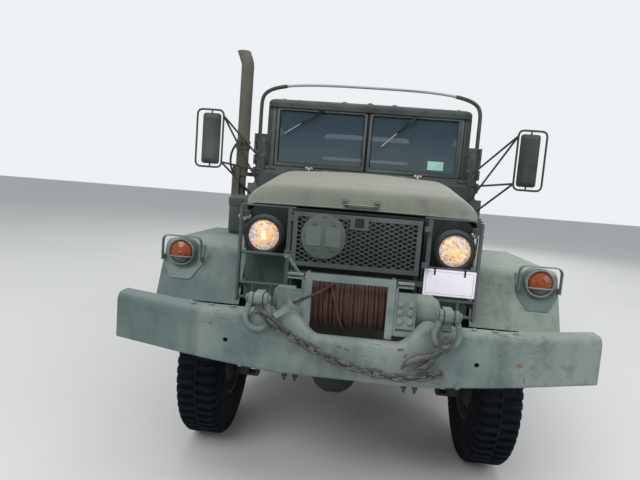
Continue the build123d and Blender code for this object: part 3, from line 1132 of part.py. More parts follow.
def build_spare_wheel():
    """The spare stands beside the frame behind the cab, bolted through its disc to a carrier."""
    x, y, z = SPARE
    face = x - DISC_OFFSET
    place = Pos(x, y, z) * Rot(0, 0, 180)
    carrier = slab("y", [(RAIL_X, RAIL_HIGH - 20), (face, z + 150), (face, z - 150), (face - 40, z - 150),
                         (RAIL_X, RAIL_LOW + 10)], y - 50, y + 50)
    write("spare_tyre", place * tyre())
    write("spare_rim", place * rim(), carrier)


def build_bed():
    """Cargo floor on sills, steel walls with stake pockets, racks and tailgate."""
    y0, y1 = BED_Y
    inner, wall, rear = BED_INNER_X, BED_WALL, y1 - GATE_WALL - GAP
    base, foot = BED_FLOOR - BED_DECK, BED_FLOOR - BED_TREAD
    deck = block((-inner - wall, inner + wall), (y0, rear), (base, foot))
    for x in GATE_HINGES_X:
        deck += hinge_leaf(x + 60 + FIT, 24, (y1, GATE_HINGE_Z), (rear - 4, GATE_HINGE_Z - 12),
                           GATE_HINGE_RADIUS)
    tread = block((FIT - inner, inner - FIT), (y0 + wall + FIT, rear), (foot, BED_FLOOR))
    sills = both_sides(block((RAIL_X - RAIL_WIDTH, RAIL_X), (y0, rear - 14), (RAIL_HIGH, BED_SILL_LOW)))
    beside_spare = SPARE[0] - TYRE_WIDTH / 2 - 20
    over_spare = SPARE[1] + TYRE_RADIUS + 20
    cross = [block((-inner, beside_spare if y < over_spare else inner), (y, y + 60), (BED_SILL_LOW, base))
             for y in BED_CROSS_Y]
    write("bed_floor", deck + tread, sills, cross)
    build_bed_walls(foot, rear)
    build_side_racks(rear)
    gate = block((-inner + 4, inner - 4), (rear + GAP, y1), (BED_FLOOR + 8, BED_SIDE_HIGH))
    for x in (-720, 0, 720):
        gate += block((x - 30, x + 30), (y1, y1 + 22), (BED_FLOOR + 30, BED_SIDE_HIGH - 30))
    for x in GATE_HINGES_X:
        gate += hinge_leaf(x, 60, (y1, GATE_HINGE_Z), (y1 - 12, BED_FLOOR + 10), GATE_HINGE_RADIUS)
    write("tailgate", gate)


def build_bed_walls(foot, rear):
    """Side walls and front wall standing on the deck, stake pockets and the rails between them."""
    inner, outside, y0, high = BED_INNER_X, BED_INNER_X + BED_WALL, BED_Y[0], BED_SIDE_HIGH
    sides = both_sides(block((inner, outside), (y0, rear), (foot, high)))
    front = block((-inner, inner), (y0, y0 + BED_WALL), (foot, high))
    pockets = [both_sides(block((outside, BED_OUTER_X), (y - 45, y + 45), (foot - 16, high - 10)))
               for y in RACK_POSTS_Y]
    rails = [both_sides(block((outside, outside + 22), (a + 45, b - 45), (high - 60, high)))
             for a, b in zip(RACK_POSTS_Y, RACK_POSTS_Y[1:])]
    write("bed_walls", sides, front, pockets, rails)


def build_side_racks(rear):
    """Posts in the stake pockets with four boards outside them, and the front rack across the bed."""
    inner, y0 = BED_INNER_X, BED_Y[0]
    racks = []
    for y in RACK_POSTS_Y:
        racks += both_sides(block((inner + 4, inner + 34), (y - 40, y + 40), (BED_SIDE_HIGH, RACK_HIGH)))
    for z in RACK_BOARDS_Z:
        racks += both_sides(block((inner + 34, inner + 56), (y0 + 10, rear), (z, z + RACK_BOARD)))
        racks.append(block((-inner + 60, inner - 60), (y0 + 4, y0 + 26), (z, z + RACK_BOARD)))
    for x in (-620, 0, 620):
        racks.append(block((x - 40, x + 40), (y0 + 26, y0 + 38), (BED_SIDE_HIGH, RACK_HIGH)))
    racks += both_sides(block((inner - 60, inner + 4), (y0 + 4, y0 + 26), (BED_SIDE_HIGH, RACK_HIGH)))
    write("side_racks", racks)


def build_bow():
    """One hoop over the front of the bed: two steel legs with round corners and a wooden middle."""
    x, y, top, deep = BED_INNER_X + 19, BOW_Y, BOW_HIGH, BOW_DEPTH / 2
    thick, bend, end = BOW_MIDDLE, BOW_BEND, BOW_MIDDLE_X
    outer, inner, shoulder = x + thick / 2, x - thick / 2, top - BOW_RISE
    corners = [(inner, RACK_HIGH), (outer, RACK_HIGH), (outer, shoulder), (end, top), (end, top - thick),
               (inner, shoulder - thick)]
    leg = slab("y", corners, y - deep, y + deep, [1, 1, bend, 1, 1, bend - thick])
    middle = block((-end, end), (y - deep, y + deep), (top - thick, top))
    write("bow", both_sides(leg), middle)


def build_pintle_hook():
    """Tow hook on the rear crossmember between two bumperettes."""
    y, z = RAIL_END, PINTLE_Z
    plate = block((-70, 70), (y, y + 14), (z - 75, z + 75))
    hook = slab("x", [(y + 14, z - 36), (y + 14, z + 44), (y + 60, z + 44), (y + 104, z + 30),
                      (PINTLE_REACH, z + 4), (PINTLE_REACH - 6, z - 10), (y + 96, z + 4), (y + 74, z + 6),
                      (y + 66, z - 10), (y + 76, z - 30), (y + 104, z - 34), (PINTLE_REACH - 4, z - 22),
                      (PINTLE_REACH - 14, z - 58), (y + 60, z - 58)], -24, 24)
    low, high = RAIL_LOW - 30, RAIL_HIGH - 4
    guards = both_sides(frame_slab("x", ((y, y + 96), (low, high)), ((y + 10, y + 86), (low + 10, high - 10)),
                                   RAIL_X - 120, RAIL_X + 40))
    write("pintle_hook", plate + hook, guards)


def build_licence_plate():
    """A blank plate hung in front of the left headlamp's guard."""
    front = GUARD_Y - GUARD_DEPTH / 2
    write("licence_plate", block(PLATE_X, (front - 3, front), PLATE_Z))


def build_truck():
    """Every node of the truck, written to the parts folder."""
    os.makedirs("parts", exist_ok=True)
    for build in (build_wheels, build_front_suspension, build_steering, build_rear_suspension,
                  build_chassis_frame, build_powertrain, build_front_bumper, build_tow_shackles,
                  build_bumper_chain, build_winch, build_winch_rope, build_rope_clevis, build_grille,
                  build_lamps, build_fenders, build_hood, build_engine_side_panels, build_cowl, build_cab,
                  build_cab_interior, build_doors, build_mirrors, build_exhaust_stack, build_air_cleaner,
                  build_side_boxes, build_spare_wheel, build_bed, build_bow, build_pintle_hook,
                  build_licence_plate):
        build()


build_truck()
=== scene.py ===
"""Visual layer of the military cargo truck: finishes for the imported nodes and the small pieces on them.

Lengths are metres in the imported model's frame: X to the driver's side, Y to the rear, Z up. Shapes are
laid out from the front axle, and mesh_of moves them by AXLE_Y into that frame.
"""
import json
import math

import bmesh
import bpy
import numpy as np
from mathutils import Matrix, Vector
from mathutils.bvhtree import BVHTree


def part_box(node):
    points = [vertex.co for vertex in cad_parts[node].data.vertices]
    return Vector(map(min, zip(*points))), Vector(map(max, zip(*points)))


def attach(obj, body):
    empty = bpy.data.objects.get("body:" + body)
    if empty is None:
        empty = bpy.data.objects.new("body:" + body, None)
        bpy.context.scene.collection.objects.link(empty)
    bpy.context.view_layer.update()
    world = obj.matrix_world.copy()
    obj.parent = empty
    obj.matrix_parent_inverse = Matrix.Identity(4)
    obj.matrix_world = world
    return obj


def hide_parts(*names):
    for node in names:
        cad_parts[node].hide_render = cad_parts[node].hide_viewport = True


bl_info = {
    "name": "Military cargo truck",
    "version": (1, 0, 0),
    "blender": (4, 5, 0),
    "location": "View3D > Sidebar > Truck",
    "description": "Finishes and small pieces of a military cargo truck",
    "category": "Object",
}

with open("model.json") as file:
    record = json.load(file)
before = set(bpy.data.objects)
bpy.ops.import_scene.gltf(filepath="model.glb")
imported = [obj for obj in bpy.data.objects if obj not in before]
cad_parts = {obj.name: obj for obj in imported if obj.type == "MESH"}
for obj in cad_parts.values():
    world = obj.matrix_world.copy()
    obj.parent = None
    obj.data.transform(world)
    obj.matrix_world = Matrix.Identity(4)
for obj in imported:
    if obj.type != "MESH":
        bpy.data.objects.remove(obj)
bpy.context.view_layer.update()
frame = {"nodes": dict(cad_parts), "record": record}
X, Y, Z = np.eye(3)


def middle(node):
    """Middle of a CAD node's box."""
    return np.mean(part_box(node), 0)


_, AXLE_Y, TYRE_RADIUS = map(float, middle("front_tyre_left"))
BODY_OF = {node: body for body, nodes in frame["record"]["behaviour"]["bodies"].items() for node in nodes}

# Places from the front axle that finishes and small pieces share
LAMP_X, LAMP_Z = 0.482, 1.390
BOW_MIDDLE_X, BOW_Y = 0.867, 2.116
GUARD_Y, GUARD_FRONT = -0.740, -0.757
WINDSHIELD_Y = 0.806


# Shapes: every shape is a pair of arrays, its vertices and its four-cornered faces

def surface(points, wrap_rows=False, wrap_columns=False):
    """Vertices and quads of a (rows, columns, 3) grid; a wrapped side joins its last line to its first."""
    rows, columns = points.shape[:2]
    index = np.arange(rows * columns).reshape(rows, columns)
    if wrap_rows:
        index = np.vstack([index, index[:1]])
    if wrap_columns:
        index = np.hstack([index, index[:, :1]])
    quads = np.stack([index[:-1, :-1], index[1:, :-1], index[1:, 1:], index[:-1, 1:]], -1)
    return points.reshape(-1, 3), quads.reshape(-1, 4)


def join(*shapes):
    """One shape from several: vertices stacked, faces counted on."""
    offsets = np.cumsum([0] + [len(points) for points, _ in shapes[:-1]])
    return (np.vstack([points for points, _ in shapes]),
            np.vstack([faces + offset for (_, faces), offset in zip(shapes, offsets)]))


def moved(shape, place):
    """A shape with every vertex moved by place."""
    return shape[0] + np.asarray(place, float), shape[1]


def mirrored(shape):
    """A shape with its X turned round, and its faces turned back outwards."""
    return shape[0] * (-1, 1, 1), shape[1][:, ::-1]


def both(*shapes):
    """Shapes and their mirror image across the truck."""
    shape = join(*shapes)
    return join(shape, mirrored(shape))


def unit(vectors):
    """Vectors of length one, row by row."""
    vectors = np.asarray(vectors, float)
    return vectors / np.linalg.norm(vectors, axis=-1, keepdims=True)


def repeat(shape, turns, places):
    """Copies of a shape: vertex v of copy n is turns[n] @ v + places[n]."""
    points, faces = shape
    places = np.asarray(places, float)
    copies = np.einsum("nij,vj->nvi", turns, points) + places[:, None, :]
    numbers = faces[None] + np.arange(len(places))[:, None, None] * len(points)
    return copies.reshape(-1, 3), numbers.reshape(-1, 4)


def facing(direction, count):
    """Turns that carry +Z to a direction, one for each of count copies."""
    z = unit(direction)
    x = np.cross(Z, z)
    x = X if np.linalg.norm(x) < 1e-6 else unit(x)
    return np.repeat(np.stack([x, np.cross(z, x), z], -1)[None], count, 0)


def in_plane(corners, depth, axis=1):
    """Points at a depth along axis, from their places along the two other axes."""
    return np.insert(np.asarray(corners, float), axis, depth, 1)


def inset(pairs, by):
    """A rectangle's (low, high) pairs, drawn in by a distance on every side."""
    return [(low + by, high - by) for low, high in pairs]


def lathe(profile, segments=32, axis=2, centre=(0, 0, 0), wrap=False):
    """(place, radius) pairs turned about an axis: centre + place along it + radius·(cos a, sin a) across it."""
    profile = np.asarray(profile, float)
    angle = np.linspace(0, 2 * np.pi, segments, endpoint=False)
    points = np.zeros((len(profile), segments, 3))
    points[..., axis] = profile[:, :1]
    points[..., (axis + 1) % 3] = profile[:, 1:] * np.cos(angle)
    points[..., (axis + 2) % 3] = profile[:, 1:] * np.sin(angle)
    return surface(points + np.asarray(centre, float), wrap, True)


def tube(path, radius, sides=10, closed=False, about=Z, flat=1.0):
    """A bar along a path: centre + radius·(cos a·side + flat·sin a·up), side square to the path and about."""
    path = np.asarray(path, float)
    radius = np.broadcast_to(np.asarray(radius, float), (len(path),))
    if closed:
        along = np.roll(path, -1, 0) - np.roll(path, 1, 0)
    else:
        along = np.gradient(path, axis=0)
        path = np.vstack([path[:1], path, path[-1:]])
        along = np.vstack([along[:1], along, along[-1:]])
        radius = np.concatenate([[0], radius, [0]])
    along = unit(along)
    side = unit(np.cross(along, about))
    up = np.cross(side, along)
    angle = np.linspace(0, 2 * np.pi, sides, endpoint=False)[None, :, None]
    ring = np.cos(angle) * side[:, None] + flat * np.sin(angle) * up[:, None]
    return surface(path[:, None] + radius[:, None, None] * ring, closed, True)


def rounded(corners, radius, steps=6):
    """A path through corners, each cut by (1-t)²·a + 2t(1-t)·corner + t²·b, which starts radius before it."""
    corners = np.asarray(corners, float)
    radii = np.broadcast_to(radius, (len(corners) - 2,))
    t = np.linspace(0, 1, steps)[:, None]
    path = [corners[:1]]
    for before, corner, after, reach in zip(corners, corners[1:], corners[2:], radii):
        a, b = [corner + unit(end - corner) * min(reach, np.linalg.norm(end - corner) / 2)
                for end in (before, after)]
        path.append((1 - t) ** 2 * a + 2 * t * (1 - t) * corner + t ** 2 * b)
    return np.vstack(path + [corners[-1:]])


def round_rectangle(a, b, radius, steps=6):
    """Points round a rectangle from its (low, high) pairs, its corners cut by curves."""
    start = (sum(a) / 2, b[0])
    corners = [start, (a[1], b[0]), (a[1], b[1]), (a[0], b[1]), (a[0], b[0]), start]
    return rounded(corners, radius, steps)[:-1]


def window_ring(outer, inner, radius, depths, axis=1):
    """A frame round an opening: round rectangles, two outer and two inner, each at its depth along axis."""
    rows = [in_plane(round_rectangle(*pairs, radius), depth, axis)
            for pairs, depth in zip((outer, outer, inner, inner), depths)]
    return surface(np.stack(rows), True, True)


def smooth(places, values, at):
    """A soft curve through values: a·h(1-t) + b·h(t) plus the slopes there, h(t) = 3t² - 2t³."""
    slopes = np.gradient(values, places)
    k = np.clip(np.searchsorted(places, at, side="right") - 1, 0, len(places) - 2)
    width = places[k + 1] - places[k]
    t = (at - places[k]) / width
    h = 3 * t ** 2 - 2 * t ** 3
    bend = slopes[k] * (t - 2 * t ** 2 + t ** 3) - slopes[k + 1] * (t ** 2 - t ** 3)
    return values[k] * (1 - h) + values[k + 1] * h + bend * width


def ease(t):
    """Half a cosine wave from 0 to 1, held outside."""
    return 0.5 - 0.5 * np.cos(np.pi * np.clip(t, 0, 1))


def evenly(path, step):
    """Points at equal distances of about step along a path."""
    lengths = np.concatenate([[0], np.cumsum(np.linalg.norm(np.diff(path, axis=0), axis=1))])
    places = np.linspace(0, lengths[-1], max(2, int(round(lengths[-1] / step)) + 1))
    return np.stack([np.interp(places, lengths, path[:, k]) for k in range(3)], -1)


def plate(corners, low, high, axis=1):
    """A flat plate: a closed row of corners in the two other axes, pulled from low to high along axis."""
    corners = np.asarray(corners, float)
    centre = np.repeat(corners.mean(0)[None], len(corners), 0)
    rows = ((centre, low), (corners, low), (corners, high), (centre, high))
    return surface(np.stack([in_plane(*row, axis) for row in rows]), False, True)


def box(low, high):
    """A plain block between two corners."""
    (x0, y0, z0), (x1, y1, z1) = low, high
    return plate([(x0, y0), (x1, y0), (x1, y1), (x0, y1)], z0, z1, 2)


def capsule(start, end, radius, sides=14):
    """A bar with round ends."""
    start, end = np.array(start, float), np.array(end, float)
    turn = np.linspace(np.pi / 2, 0, 6)[1:, None]
    reach = radius * (1 - np.sin(turn)) * unit(end - start)
    rounds = radius * np.cos(turn[:, 0])
    return tube(np.vstack([start + reach, end - reach[::-1]]), np.concatenate([rounds, rounds[::-1]]), sides)


def bolts_on(places, direction, radius=0.011, height=0.009):
    """Bolt heads at places that face one way, each a washer and a hexagon turned from two profiles."""
    head = lathe([(0.002, 0), (0.002, radius), (height - 0.002, radius), (height, radius * 0.8), (height, 0)], 6)
    washer = lathe([(-0.001, 0), (-0.001, radius * 1.45), (0.0022, radius * 1.4), (0.0022, 0)], 16)
    return repeat(join(washer, head), facing(direction, len(places)), places)


def wing_nut(place, half=0.036):
    """A wing nut across X: a bar whose radius swells into two wings beside its hub."""
    x = np.linspace(-1, 1, 17)
    radius = 0.0075 + 0.0075 * np.exp(-((np.abs(x) - 0.66) / 0.22) ** 2) - 0.004 * np.abs(x) ** 6
    path = np.stack([x * half, 0 * x, 0.35 * half * x ** 2], -1) + np.array(place)
    hub = lathe([(-0.012, 0), (-0.012, 0.012), (0.008, 0.010), (0.008, 0)], 14, 2, place)
    return join(tube(path, radius, 10, about=Y, flat=0.6), hub)


# Pieces in the scene

def settle(thing, **settings):
    """A thing with its properties set."""
    for name, value in settings.items():
        setattr(thing, name, value)
    return thing


def placed(name, data):
    """A new object in the scene."""
    thing = bpy.data.objects.new(name, data)
    bpy.context.scene.collection.objects.link(thing)
    return thing


def mesh_of(name, shape, weld=2e-6):
    """A mesh from a shape laid out from the front axle, its doubles welded and its faces turned outwards."""
    mesh = bpy.data.meshes.new(name)
    mesh.from_pydata((shape[0] + AXLE_Y * Y).tolist(), [], shape[1].tolist())
    if weld:
        work = bmesh.new()
        work.from_mesh(mesh)
        bmesh.ops.remove_doubles(work, verts=work.verts, dist=weld)
        bmesh.ops.recalc_face_normals(work, faces=work.faces)
        work.to_mesh(mesh)
        work.free()
    return mesh


def add(name, shapes, finish, replaces=(), angle=35, bevel=0.0, body="truck"):
    """A finished piece from one shape or a list of them."""
    shape = join(*shapes) if isinstance(shapes, list) else shapes
    return finish_piece(name, mesh_of(name, shape), finish, replaces, angle, bevel, body)


def finish_piece(name, mesh, finish, replaces=(), angle=35, bevel=0.0, body="truck"):
    """A mesh in the scene, smooth below an edge angle, with its finish, body and the nodes it stands for."""
    mesh.shade_smooth()
    mesh.set_sharp_from_angle(angle=math.radians(angle))
    mesh.materials.append(MATERIALS[finish])
    piece = placed(name, mesh)
    if bevel:
        settle(piece.modifiers.new("edge", "BEVEL"), width=bevel, segments=2, limit_method="ANGLE",
               angle_limit=math.radians(angle))
    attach(piece, body)
    if replaces:
        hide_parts(*replaces)
    return piece


def applied(piece):
    """The piece's mesh with its modifiers applied, as a new mesh."""
    view = bpy.context.evaluated_depsgraph_get()
    return bpy.data.meshes.new_from_object(piece.evaluated_get(view))


# Finishes: layers of colour over a base, each let in by a mask that is worked out from Object coordinates

BLACK, RUST, DUST = (0, 0, 0), (0.16, 0.055, 0.022), (0.30, 0.29, 0.25)
MATERIALS = {}


def mixed(colour, other, share):
    """A colour part of the way to another."""
    return tuple(a + (b - a) * share for a, b in zip(colour, other))


def put(socket, value):
    """Links a socket to another, or sets a plain value; three numbers are a colour and get their fourth."""
    if isinstance(value, bpy.types.NodeSocket):
        socket.id_data.links.new(value, socket)
    elif socket.type == "RGBA" and len(value) == 3:
        socket.default_value = (*value, 1)
    else:
        socket.default_value = value


def node(tree, kind, output, inputs, **settings):
    """One output of a new shader node with its settings and inputs."""
    made = settle(tree.nodes.new("ShaderNode" + kind), **settings)
    for name, value in inputs.items():
        put(made.inputs[name], value)
    return made.outputs[output]


class Finish:
    """One procedural material, built up layer by layer on a Principled shader."""

    def __init__(self, name, colour, roughness=0.7, metallic=0.0, specular=0.28):
        self.material = settle(bpy.data.materials.new(name), use_nodes=True)
        self.tree = self.material.node_tree
        self.place = node(self.tree, "TexCoord", "Object", {})
        self.colour, self.height = colour, 0.0
        self.shade(Roughness=roughness, Metallic=metallic, Specular_IOR_Level=specular)

    def shade(self, **values):
        """Sets the shader's own sockets, an underscore standing for a space in their names."""
        for name, value in values.items():
            put(self.tree.nodes["Principled BSDF"].inputs[name.replace("_", " ")], value)

    def stretched(self, scale, turn=(0, 0, 0)):
        """Object coordinates scaled along each axis after a turn."""
        return node(self.tree, "Mapping", "Vector", {"Scale": scale, "Rotation": turn, "Vector": self.place})

    def noise(self, scale, detail=4.0, rough=0.55, place=None, distortion=0.0):
        """Cloudy noise from 0 to 1."""
        return node(self.tree, "TexNoise", "Fac", {"Scale": scale, "Detail": detail, "Roughness": rough,
                                                   "Distortion": distortion, "Vector": place or self.place})

    def cells(self, scale):
        """Distance to the nearest of scattered points."""
        return node(self.tree, "TexVoronoi", "Distance", {"Scale": scale, "Vector": self.place})

    def step(self, value, low, high, start=0.0, end=1.0):
        """A soft ramp from start at low to end at high, held outside."""
        return node(self.tree, "MapRange", "Result", {"From Min": low, "From Max": high, "To Min": start,
                                                      "To Max": end, "Value": value},
                    interpolation_type="SMOOTHSTEP")

    def sum(self, operation, first, second=0.0, third=0.5):
        """One arithmetic step on two or three values."""
        return node(self.tree, "Math", "Value", {0: first, 1: second, 2: third}, operation=operation)

    def times(self, first, second):
        """The product of two values."""
        return self.sum("MULTIPLY", first, second)

    def along(self, axis, vector=None):
        """One of the three Object coordinates, or of another vector's."""
        return node(self.tree, "SeparateXYZ", axis, {"Vector": vector or self.place})

    def beside(self):
        """Distance from the truck's middle plane."""
        return self.sum("ABSOLUTE", self.along("X"))

    def away(self, across, x, z, wide=1.0, high=1.0):
        """Square of the distance from (x, z), in half widths of across and half heights."""
        across = self.sum("DIVIDE", self.sum("SUBTRACT", across, x), wide)
        above = self.sum("DIVIDE", self.sum("SUBTRACT", self.along("Z"), z), high)
        return self.sum("ADD", self.times(across, across), self.times(above, above))

    def mix(self, mask, under, over):
        """One colour over another by a mask."""
        return node(self.tree, "Mix", "Result", {"Factor": mask, "A": under, "B": over}, data_type="RGBA")

    def layer(self, mask, colour):
        """Lets a colour in over what is there, by a mask."""
        self.colour = self.mix(mask, self.colour, colour)

    def clouds(self, scale, detail, rough, low, high, colour, share=1.0, place=None, distortion=0.0):
        """Lets a colour in, up to its share, where noise goes from low to high."""
        self.layer(self.step(self.noise(scale, detail, rough, place, distortion), low, high, 0, share), colour)

    def relief(self, value, depth):
        """Adds a height, in metres, to the bump."""
        self.height = self.sum("ADD", self.height, self.times(value, depth))

    def done(self, roughness=None):
        """Connects the layers, the roughness and the bump to the shader."""
        self.shade(Base_Color=self.colour)
        if roughness:
            self.shade(Roughness=roughness)
        if self.height:
            self.shade(Normal=node(self.tree, "Bump", "Normal", {"Strength": 1, "Distance": 1,
                                                                 "Height": self.height}))
        return self.material


def paint(name, colour, faded, rust=0.3, scratches=0.3, dust=0.3, rough=(0.6, 0.85), grain=0.00012, bleached=0,
          below=None, marks=()):
    """Old brushed paint: faded clouds, dark run-down streaks, dust on top, scratches and rusty chips."""
    finish = Finish(name, colour)
    finish.clouds(1.7, 5, 0.6, 0.38, 0.66, faded)
    if bleached:
        finish.layer(finish.step(finish.along("X"), -0.3, 0.8, 0, bleached), (0.27, 0.32, 0.26))
    # A second colour below a height: the grille shell's painted recess shade uses it for a lighter band at its
    # foot.
    if below:
        height, other = below
        finish.layer(finish.step(finish.along("Z"), height + 0.004, height - 0.004), other)
    mottle = finish.noise(13, 6, 0.65)
    finish.layer(finish.step(mottle, 0.5, 0.74, 0, 0.5), mixed(colour, BLACK, 0.35))
    finish.clouds(7, 4, 0.6, 0.52, 0.72, mixed(colour, (0.02, 0.02, 0.015), 0.55), 0.42,
                  finish.stretched((1, 1, 0.12)))
    if dust:
        # Dust on upward faces; where its share is high, as on the hood, it is also a painted reflection of the sky.
        up = finish.along("Z", node(finish.tree, "TexCoord", "Normal", {}))
        dust_and_sheen = finish.times(finish.step(up, 0.3, 0.95), finish.step(mottle, 0.3, 0.7, 0.5, 1))
        finish.layer(finish.times(dust_and_sheen, dust), mixed(faded, DUST, 0.6))
    if scratches:
        wide = finish.step(finish.noise(3.1, 2, 0.5), 0.5, 0.62)
        lines = finish.noise(9, 3, 0.5, finish.stretched((0.55, 1.6, 7), (0.1, 0.4, 0.15)), 1.2)
        cut = finish.sum("COMPARE", lines, 0.5, 0.006)
        finish.layer(finish.times(finish.times(cut, wide), scratches), mixed(colour, (0.03, 0.03, 0.03), 0.7))
    if rust:
        spots, patches = finish.noise(11, 9, 0.72), finish.noise(2.3, 3, 0.6)
        limit = 0.66 - 0.07 * rust
        rusted = finish.step(finish.sum("ADD", finish.times(spots, 0.65), finish.times(patches, 0.35)), limit,
                             limit + 0.018)
        finish.layer(rusted, finish.mix(finish.noise(60, 4, 0.7), mixed(RUST, BLACK, 0.45),
                                        mixed(RUST, (0.42, 0.18, 0.07), 0.6)))
        finish.relief(rusted, -0.0004)
    for mark in marks:
        fray = finish.times(finish.noise(85, 4, 0.7), 5.0)
        ragged = finish.sum("ADD", finish.away(finish.along("X"), *mark), fray)
        finish.layer(finish.step(ragged, 3.1, 2.5, 0, 0.85), mixed(RUST, (0.1, 0.03, 0.02), 0.5))
    finish.relief(finish.noise(260, 3, 0.6), grain)
    return finish.done(finish.step(mottle, 0.3, 0.75, *rough))


def rubber(name, colour, dusty):
    """Tyre rubber: near black, grey with dust in patches."""
    finish = Finish(name, colour, 0.85, specular=0.12)
    finish.clouds(6, 6, 0.65, 0.42, 0.72, dusty, 0.75)
    finish.clouds(45, 5, 0.7, 0.55, 0.8, mixed(dusty, (0.2, 0.18, 0.15), 0.4), 0.5)
    finish.relief(finish.noise(190, 4, 0.65), 0.0003)
    return finish.done(finish.step(finish.noise(20, 4), 0.3, 0.7, 0.78, 0.95))


def rusty(name, colour, bright, scale=30, rough=0.85, metallic=0.0):
    """Rusted steel: brown clouds, lighter powder and dark pits."""
    finish = Finish(name, colour, rough, metallic)
    finish.clouds(scale, 6, 0.7, 0.42, 0.68, bright)
    finish.clouds(scale * 3.2, 5, 0.7, 0.55, 0.75, mixed(colour, BLACK, 0.6), 0.8)
    finish.relief(finish.noise(scale * 9, 5, 0.7), 0.0005)
    return finish.done()


def wood(name, colour, bare):
    """Painted boards worn to the grain: bands of noise drawn out along the board."""
    finish = Finish(name, colour, 0.8)
    grain = finish.noise(34, 6, 0.65, finish.stretched((1, 0.05, 1)), 0.4)
    finish.layer(finish.step(grain, 0.5, 0.72, 0, 0.85), bare)
    finish.clouds(3, 5, 0.6, 0.45, 0.7, mixed(colour, (0.02, 0.02, 0.02), 0.5), 0.5)
    finish.relief(grain, 0.0009)
    return finish.done(finish.step(grain, 0.4, 0.7, 0.7, 0.92))


def glass(name, colour, alpha, rear, rough=0.04):
    """A tinted pane that lets light by, paler towards its foot and clearer at the rear, with a film of dust."""
    finish = Finish(name, colour, rough)
    finish.layer(finish.step(finish.along("Z"), 2.25, 1.8), mixed(colour, (0.16, 0.2, 0.22), 0.5))
    finish.clouds(3, 5, 0.6, 0.5, 0.8, mixed(colour, (0.35, 0.38, 0.38), 0.5), 0.12)
    finish.shade(Alpha=finish.step(finish.along("Y"), AXLE_Y + 1.5, AXLE_Y + 1.7, alpha, rear), IOR=1.5)
    return finish.done()


def lamp_glass(name, pale, amber, glow):
    """A lit lens: a warm core, amber round it, grey facets outside and a few dark ones between."""
    finish = Finish(name, pale, 0.12)
    away = finish.sum("POWER", finish.away(finish.beside(), LAMP_X, LAMP_Z), 0.5)
    patchy = finish.sum("SUBTRACT", finish.noise(30, 5, 0.7), finish.times(away, 2.4))
    finish.clouds(70, 3, 0.7, 0.4, 0.62, mixed(pale, (0.16, 0.12, 0.12), 0.6))
    finish.layer(finish.step(patchy, 0.30, 0.46), amber)
    finish.clouds(52, 4, 0.65, 0.55, 0.66, (1.0, 0.86, 0.56), 0.85, None, 0.6)
    finish.clouds(41, 3, 0.6, 0.58, 0.66, (0.2, 0.11, 0.07), 0.7, finish.stretched((1, 1, 1.3)))
    finish.layer(finish.step(patchy, 0.50, 0.58), (1.0, 0.9, 0.66))
    finish.relief(finish.cells(95), 0.0008)
    finish.shade(Emission_Strength=glow, Emission_Color=finish.colour)
    return finish.done()


def bow_finish(name, steel, wood_colour):
    """Painted steel legs and a pale weathered wooden middle."""
    finish = Finish(name, steel, 0.75)
    finish.clouds(9, 6, 0.6, 0.5, 0.75, mixed(steel, (0.3, 0.3, 0.27), 0.3), 0.5)
    grain = finish.noise(34, 6, 0.65, finish.stretched((0.05, 1, 1)), 0.4)
    wooden = finish.step(finish.beside(), BOW_MIDDLE_X + 0.002, BOW_MIDDLE_X - 0.002)
    finish.layer(wooden, wood_colour)
    finish.layer(finish.times(wooden, finish.step(grain, 0.5, 0.72, 0, 0.8)), (0.2, 0.19, 0.17))
    finish.relief(grain, 0.0004)
    return finish.done()


def signal_glass(name, low, high, red):
    """Ribbed lens, amber before the cab and red behind it, over a painted chin."""
    finish = Finish(name, low, 0.18)
    finish.layer(finish.step(finish.cells(60), 0.15, 0.7), high)
    finish.layer(finish.step(finish.along("Y"), -0.1, 0.1), red)
    height = finish.along("Z")
    finish.layer(finish.times(finish.step(height, 1.227, 1.225), finish.step(height, 1.17, 1.18)),
                 (0.055, 0.07, 0.065))
    finish.relief(finish.sum("SINE", finish.times(height, 900.0)), 0.0002)
    finish.shade(Coat_Weight=0.4)
    return finish.done()


def lamp_paint(name, colour, dark):
    """Faded paint on the turn and tail lamps; on the headlamps' buckets a dark colour, their dark paint deepened by
    painted shade of the recess they sit in.
    """
    finish = Finish(name, colour)
    finish.clouds(5, 5, 0.6, 0.4, 0.68, mixed(colour, (0.4, 0.42, 0.38), 0.3), 0.7)
    finish.clouds(14, 7, 0.7, 0.63, 0.68, mixed(RUST, BLACK, 0.4), 0.8)
    # Painted shade on the headlamp buckets: darker above 1.27 m and within 0.68 m of the middle.
    shaded_bucket = finish.times(finish.step(finish.along("Z"), 1.268, 1.272), finish.step(finish.beside(), 0.70, 0.66))
    finish.layer(shaded_bucket, dark)
    finish.relief(finish.noise(220, 3, 0.6), 0.00015)
    return finish.done(finish.step(finish.noise(9, 4), 0.3, 0.7, 0.5, 0.75))


def mirror_glass(name):
    """Silvered glass with a haze of dust."""
    finish = Finish(name, (0.8, 0.82, 0.83), 0.05, 1.0)
    finish.clouds(7, 5, 0.55, 0.5, 0.8, (0.4, 0.42, 0.4), 0.4)
    return finish.done(finish.step(finish.noise(12, 4), 0.4, 0.8, 0.03, 0.3))


def cloth(name, colour, faded):
    """Canvas: fine threads, faded and soiled in clouds."""
    finish = Finish(name, colour, 0.9)
    finish.clouds(5, 5, 0.6, 0.42, 0.7, faded)
    turned = finish.stretched((1, 1, 1), (0, 0, 0.5))
    threads = node(finish.tree, "TexWave", "Fac", {"Scale": 320, "Vector": turned})
    finish.layer(finish.times(threads, 0.25), mixed(colour, BLACK, 0.5))
    finish.relief(threads, 0.00025)
    finish.relief(finish.noise(400, 3, 0.6), 0.0002)
    finish.shade(Sheen_Weight=0.15)
    return finish.done()


# The user's sizes and colours

